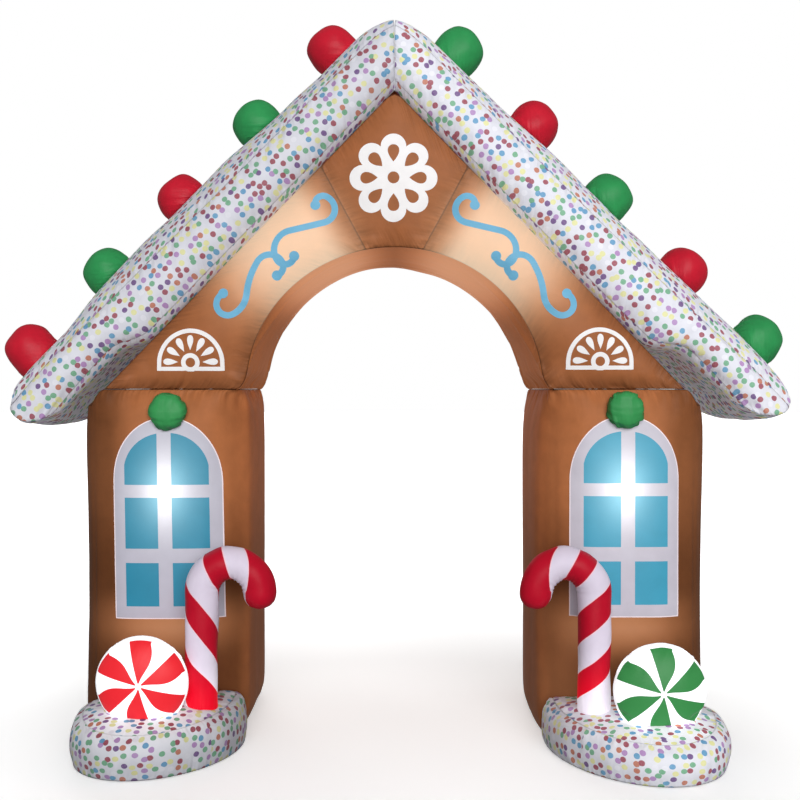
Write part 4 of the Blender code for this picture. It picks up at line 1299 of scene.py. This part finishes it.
def flatShape(name, outlines, pitch, cloth):  # inner outlines become holes
    curve = bpy.data.curves.new(name, "CURVE")
    curve.dimensions = "2D"
    curve.fill_mode = "BOTH"
    for outline in outlines:
        spline = curve.splines.new("POLY")
        spline.points.add(len(outline) - 1)
        for point, (x, z) in zip(spline.points, outline):
            point.co = (x, z, 0, 1)
        spline.use_cyclic_u = True
    shape = bpy.data.objects.new(name, curve)
    bpy.context.scene.collection.objects.link(shape)
    pick(shape)
    bpy.ops.object.convert(target="MESH")
    shape = bpy.context.object
    bpy.ops.object.mode_set(mode="EDIT")
    bpy.ops.mesh.select_all(action="SELECT")
    bpy.ops.mesh.remove_doubles(threshold=0.00005)
    for axis, normal in enumerate(((1, 0, 0), (0, 1, 0))):
        places = [point[axis] for outline in outlines for point in outline]
        low, high = min(places), max(places)
        steps = max(1, math.ceil((high - low) / pitch))
        for step in range(1, steps):
            cut = low + (high - low) * step / steps
            bpy.ops.mesh.select_all(action="SELECT")
            bpy.ops.mesh.bisect(plane_co=[cut * part for part in normal], plane_no=normal)
    bpy.ops.object.mode_set(mode="OBJECT")
    shape.data.materials.clear()
    shape.data.materials.append(cloth)
    return shape


def layOn(shape, surface, at, lift, thickness, mirrored=False, lean=0.0):  # upright, on the front
    wellBefore, half, softTurn = -3, 0.38, 50
    mesh = shape.data
    for vertex in mesh.vertices:
        x = at[0] + (-vertex.co.x if mirrored else vertex.co.x) + lean * (half - vertex.co.y) / (2 * half)
        z = at[1] + vertex.co.y
        hit = surface.ray_cast(middle + Vector((x, wellBefore, z)), Vector((0, 1, 0)))[0]
        y = (hit.y if hit else middle.y + frontY) - lift - vertex.co.z
        vertex.co = (middle.x + x, y, z)
    mesh.update()
    if sum(face.normal.y * face.area for face in mesh.polygons) > 0:
        mesh.flip_normals()
    wall = shape.modifiers.new("Thickness", "SOLIDIFY")
    wall.thickness = thickness
    wall.offset = -1
    pick(shape)
    bpy.ops.object.modifier_apply(modifier=wall.name)
    shape.data.shade_smooth()
    bpy.ops.object.shade_smooth_by_angle(angle=math.radians(softTurn))
    deselectAll()


def ringOf(radius, count=64, at=(0, 0)):
    return [(at[0] + radius * math.cos(math.tau * k / count), at[1] + radius * math.sin(math.tau * k / count))
            for k in range(count)]


def arcOf(radius, first, last, steps):
    turns = [first + (last - first) * k / steps for k in range(steps + 1)]
    return [(radius * math.cos(turn), radius * math.sin(turn)) for turn in turns]


def dropOf(turn, near, far, width, blunt=1.4):  # a drop whose tip points to the middle
    count, fullness = 36, 0.62
    outline = []
    for step in range(count):
        t = math.tau * (step + 0.5) / count
        along = near + (far - near) * (1 - math.cos(t)) / 2
        aside = width * fullness * math.sin(t) * abs(math.sin(t / 2)) ** blunt
        outline.append((along * math.cos(turn) - aside * math.sin(turn),
                        along * math.sin(turn) + aside * math.cos(turn)))
    return outline


# Prints on the gable: a flower, two fanlights and two scrolls

prints = {"lift": 0.0010, "thickness": 0.0007, "pitch": 0.010,
          "flower": {"at": (-0.004, 2.138), "radius": 0.167, "petals": 8, "notch": 0.76, "eye": 0.0225,
                     "drop": (0.060, 0.126, 0.046)},
          "fan": {"left": (-0.774, 1.438), "right": (0.779, 1.4425), "radius": 0.1285, "stroke": 0.0163, "below": 0.031,
                  "hub": (0.0182, 0.0353), "bulge": (0.010, 0.003), "drop": (0.046, 0.104, 0.0275), "drops": 7,
                  "dropFrom": 2, "dropTurn": 29.33},
          "scroll": {"width": 0.0245, "ball": 0.0190, "step": 0.006, "apart": 0.0002, "shift": 0.004, "strokes": (
              {"start": (-0.3008, 2.0356), "heading": 102.8,  # arcs: length, turn in degrees
               "arcs": ((0.065, -125), (0.133, -143), (0.134, -2), (0.141, 108), (0.088, 144))},
              {"start": (-0.6477, 1.6987), "heading": 204.7,
               "arcs": ((0.140, 184), (0.092, 55), (0.132, -24), (0.108, -115), (0.067, -105))})}}


def flowerOutline():
    sizes = prints["flower"]
    radius, notch = sizes["radius"], sizes["notch"]
    half = math.pi / sizes["petals"]
    lobeAt = (1 - notch ** 2) / (2 * (1 - notch * math.cos(half)))
    outline = []
    for step in range(192):
        turn = math.tau * step / 192
        off = (turn + half) % (2 * half) - half
        share = lobeAt * math.cos(off) + math.sqrt(max(0, (1 - lobeAt) ** 2 - (lobeAt * math.sin(off)) ** 2))
        outline.append((radius * share * math.cos(turn), radius * share * math.sin(turn)))
    return outline


def fanOutlines():
    sizes = prints["fan"]
    radius, stroke, below = sizes["radius"], sizes["stroke"], sizes["below"]
    eye, hub = sizes["hub"]
    foot, bulge = sizes["bulge"]
    inner, low = radius - stroke, -below + stroke * 0.9
    hubTurn = math.asin(low / hub)
    outer = arcOf(radius, 0, math.pi, 48)
    outer += [(-radius, -below), (-hub * 0.5, -below), (-foot, -below - bulge), (foot, -below - bulge),
              (hub * 0.5, -below), (radius, -below)]
    opening = arcOf(inner, 0, math.pi, 48) + [(-inner, low)]
    opening += arcOf(hub, math.pi - hubTurn, hubTurn, 30) + [(inner, low)]
    return [outer, opening, ringOf(eye, 28)]


def strokeShape(name, stroke):  # a line of even width with a ball at each end
    sizes = prints["scroll"]
    x, z = stroke["start"]
    heading = math.radians(stroke["heading"])
    line = [(x, z, heading)]
    for length, turn in stroke["arcs"]:
        steps = max(4, int(length / sizes["step"]))
        for step in range(steps):
            heading += math.radians(turn) / steps / 2
            x += math.cos(heading) * length / steps
            z += math.sin(heading) * length / steps
            heading += math.radians(turn) / steps / 2
            line.append((x, z, heading))
    bpy.ops.mesh.primitive_grid_add(x_subdivisions=4, y_subdivisions=len(line) - 1, size=2)
    strip = bpy.context.object
    for vertex in strip.data.vertices:
        px, pz, turn = line[round((vertex.co.y + 1) / 2 * (len(line) - 1))]
        aside = vertex.co.x * sizes["width"] / 2
        vertex.co = (px - aside * math.sin(turn), pz + aside * math.cos(turn), 0)
    strip.data.materials.append(bluePrint)
    balls = [flatShape("scrollBall", [ringOf(sizes["ball"], 30, (px, pz))], prints["pitch"], bluePrint)
             for px, pz, _ in (line[0], line[-1])]
    for ball in balls:
        for vertex in ball.data.vertices:
            vertex.co.z = sizes["apart"] / 2
    return sewPanels(name, [strip] + balls)


def makePrints(surface):
    def finish(shape, at, mirrored=False, lift=0.0):
        layOn(shape, surface, at, prints["lift"] + lift, prints["thickness"], mirrored=mirrored)
        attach(shape, "root")

    flower = prints["flower"]
    outlines = [flowerOutline(), ringOf(flower["eye"], 32)]
    outlines += [dropOf(math.tau * k / flower["petals"], *flower["drop"], blunt=1.0) for k in range(flower["petals"])]
    finish(flatShape("flowerPrint", outlines, prints["pitch"], whitePrint), flower["at"])
    fan, scroll = prints["fan"], prints["scroll"]
    for side in bothSides:
        parts = [flatShape("fanPrint_" + side, fanOutlines(), prints["pitch"], whitePrint)]
        for k in range(fan["drops"]):
            drop = dropOf(math.radians(fan["dropFrom"] + fan["dropTurn"] * k), *fan["drop"])
            parts.append(flatShape("fanDrop", [drop], prints["pitch"], whitePrint))
        finish(sewPanels("fanPrint_" + side, parts), fan[side])
        for index, stroke in enumerate(scroll["strokes"]):
            shape = strokeShape("scrollPrint_%s_%d" % (side, index + 1), stroke)
            mirrored = side == "right"
            finish(shape, (scroll["shift"] if mirrored else 0, 0), mirrored, scroll["apart"] * index)
    report("prints")


# Windows: white cloth with six panes

window = {"width": 0.413, "height": 0.763, "arch": 0.250, "roundness": 0.94,
          "left": {"x": 0.857, "bottom": 0.468, "lean": 0.014}, "right": {"x": 0.872, "bottom": 0.474, "lean": -0.002},
          "hem": 0.004, "thickness": 0.0018, "lift": 0.0035, "pitch": 0.012, "sewn": 0.0001,
          "columns": ((-0.156, -0.016), (0.037, 0.162)), "rows": ((0.048, 0.212), (0.266, 0.4585), (0.507, 0.705)),
          "paneArch": {"centre": 0.003, "half": 0.162, "spring": 0.552, "rise": 0.152, "roundness": 2.1}}


def windowOutline(inset=0.0):
    half = window["width"] / 2 - inset
    spring = window["height"] - window["arch"]
    rise = window["arch"] - inset
    outline = [(-half, inset), (half, inset)]
    for step in range(49):
        turn = math.pi * step / 48
        outline.append((half * math.cos(turn), spring + rise * math.sin(turn) ** window["roundness"]))
    return outline


def paneOutlines():
    arch = window["paneArch"]
    panes = []
    for left, right in window["columns"]:
        for bottom, top in window["rows"]:
            rim = [(left, top), (right, top)]
            if top > arch["spring"]:  # the upper panes follow the arch
                xs = [left + (right - left) * step / 32 for step in range(33)]
                shares = [min(1.0, abs(x - arch["centre"]) / arch["half"]) for x in xs]
                rim = [(x, arch["spring"] + arch["rise"] * math.sqrt(max(0.0, 1 - share ** arch["roundness"])))
                       for x, share in zip(xs, shares)]
            panes.append([(left, bottom), (right, bottom)] + rim[::-1])
    return panes


def makeWindow(side, surface):
    sizes, pitch = window[side], window["pitch"]
    hem, white, blue = windowCloths[side]
    inside = windowOutline(window["hem"])
    parts = [flatShape("windowHem", [windowOutline(), inside], pitch, hem),
             flatShape("windowFrame", [inside] + paneOutlines(), pitch, white)]
    parts += [flatShape("windowPane", [pane], pitch, blue) for pane in paneOutlines()]
    piece = sewPanels("windowCloth_" + side, parts)
    form = bmesh.new()
    form.from_mesh(piece.data)
    bmesh.ops.remove_doubles(form, verts=form.verts, dist=window["sewn"])
    form.to_mesh(piece.data)
    form.free()
    layOn(piece, surface, (signOf[side] * sizes["x"], sizes["bottom"]), window["lift"], window["thickness"],
          side == "left", sizes["lean"])
    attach(piece, "root")
    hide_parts("window_" + side)
    report("window " + side)


# All the pieces, each laid on those before it

gablePiece = makeGable()
legPieces = {side: makeLeg(side) for side in bothSides}
roofPieces = {side: makeRoof(side) for side in bothSides}
for side in bothSides:
    legSurface, roofSurface = surfaceOf(legPieces[side]), surfaceOf(roofPieces[side])
    baseSurface = surfaceOf(makeBase(side, legSurface))
    makeMint(side, baseSurface)
    makeCane(side, baseSurface)
    makeRoofGumdrops(side, roofSurface)
    makeWindowGumdrop(side, legSurface)
    makeWindow(side, legSurface)
makePrints(surfaceOf(gablePiece))


# Floor and light

studio = {"floor": 0.86, "speckle": 1.02, "paper": 1.0, "round": 0.19, "floorGlow": 0.40, "glowFrom": (1.2, 3.5),
          "soft": 45, "suns": ((8, 15, 2.80, True), (188, 12, 2.0, False),
                               (105, 25, 0.30, False), (262, 25, 0.20, False))}  # turn, height, power, shines


def addStudio():
    scene = bpy.context.scene
    scene.view_settings.view_transform = "Standard"
    bpy.ops.mesh.primitive_circle_add(vertices=96, radius=60, fill_type="NGON", location=(0, 0, -0.001))
    floor = bpy.context.object
    floor.name = "floor"
    recipe = Recipe("paleFloor")
    speckle = recipe.add("TexNoise", {"Vector": recipe.add("TexCoord").outputs["Object"], "Scale": 3.0, "Detail": 4.0})
    tone = studio["floor"]
    recipe.set("Base Color", recipe.mix(speckle.outputs["Fac"], (tone,) * 3 + (1,),
                                        (tone * studio["speckle"],) * 3 + (1,)))
    recipe.set("Roughness", 0.9)
    away = recipe.vector("LENGTH", recipe.add("TexCoord").outputs["Object"], output=1)
    near, far = studio["glowFrom"]
    glow = recipe.add("MapRange", {0: away, 1: near, 2: far, 3: studio["floorGlow"], 4: 1.0}).outputs[0]
    recipe.shine((1, 1, 1, 1), glow)
    floor.data.materials.append(recipe.material)
    floor.visible_diffuse = False
    floor.visible_glossy = False
    for index, (turn, height, power, shines) in enumerate(studio["suns"]):
        data = bpy.data.lights.new("sun_%d" % index, "SUN")
        data.energy = power
        data.angle = math.radians(studio["soft"])
        lamp = bpy.data.objects.new("sun_%d" % index, data)
        scene.collection.objects.link(lamp)
        turn, height = math.radians(turn), math.radians(height)  # the turn runs from the front
        toward = Vector((math.sin(turn) * math.cos(height), -math.cos(turn) * math.cos(height), math.sin(height)))
        lamp.visible_glossy = shines
        lamp.location = toward * 8 + Vector((0, 0, 1.3))
        lamp.rotation_euler = (-toward).to_track_quat("-Z", "Y").to_euler()
    world = bpy.data.worlds.new("studio")
    scene.world = world
    world.use_nodes = True
    tree = world.node_tree
    background = tree.nodes["Background"]
    path = tree.nodes.new("ShaderNodeLightPath")
    strength = tree.nodes.new("ShaderNodeMapRange")
    strength.inputs["To Min"].default_value = studio["round"]
    strength.inputs["To Max"].default_value = studio["paper"]
    tree.links.new(path.outputs["Is Camera Ray"], strength.inputs["Value"])
    tree.links.new(strength.outputs[0], background.inputs["Strength"])
    background.inputs["Color"].default_value = (1, 1, 1, 1)


addStudio()
report("studio")
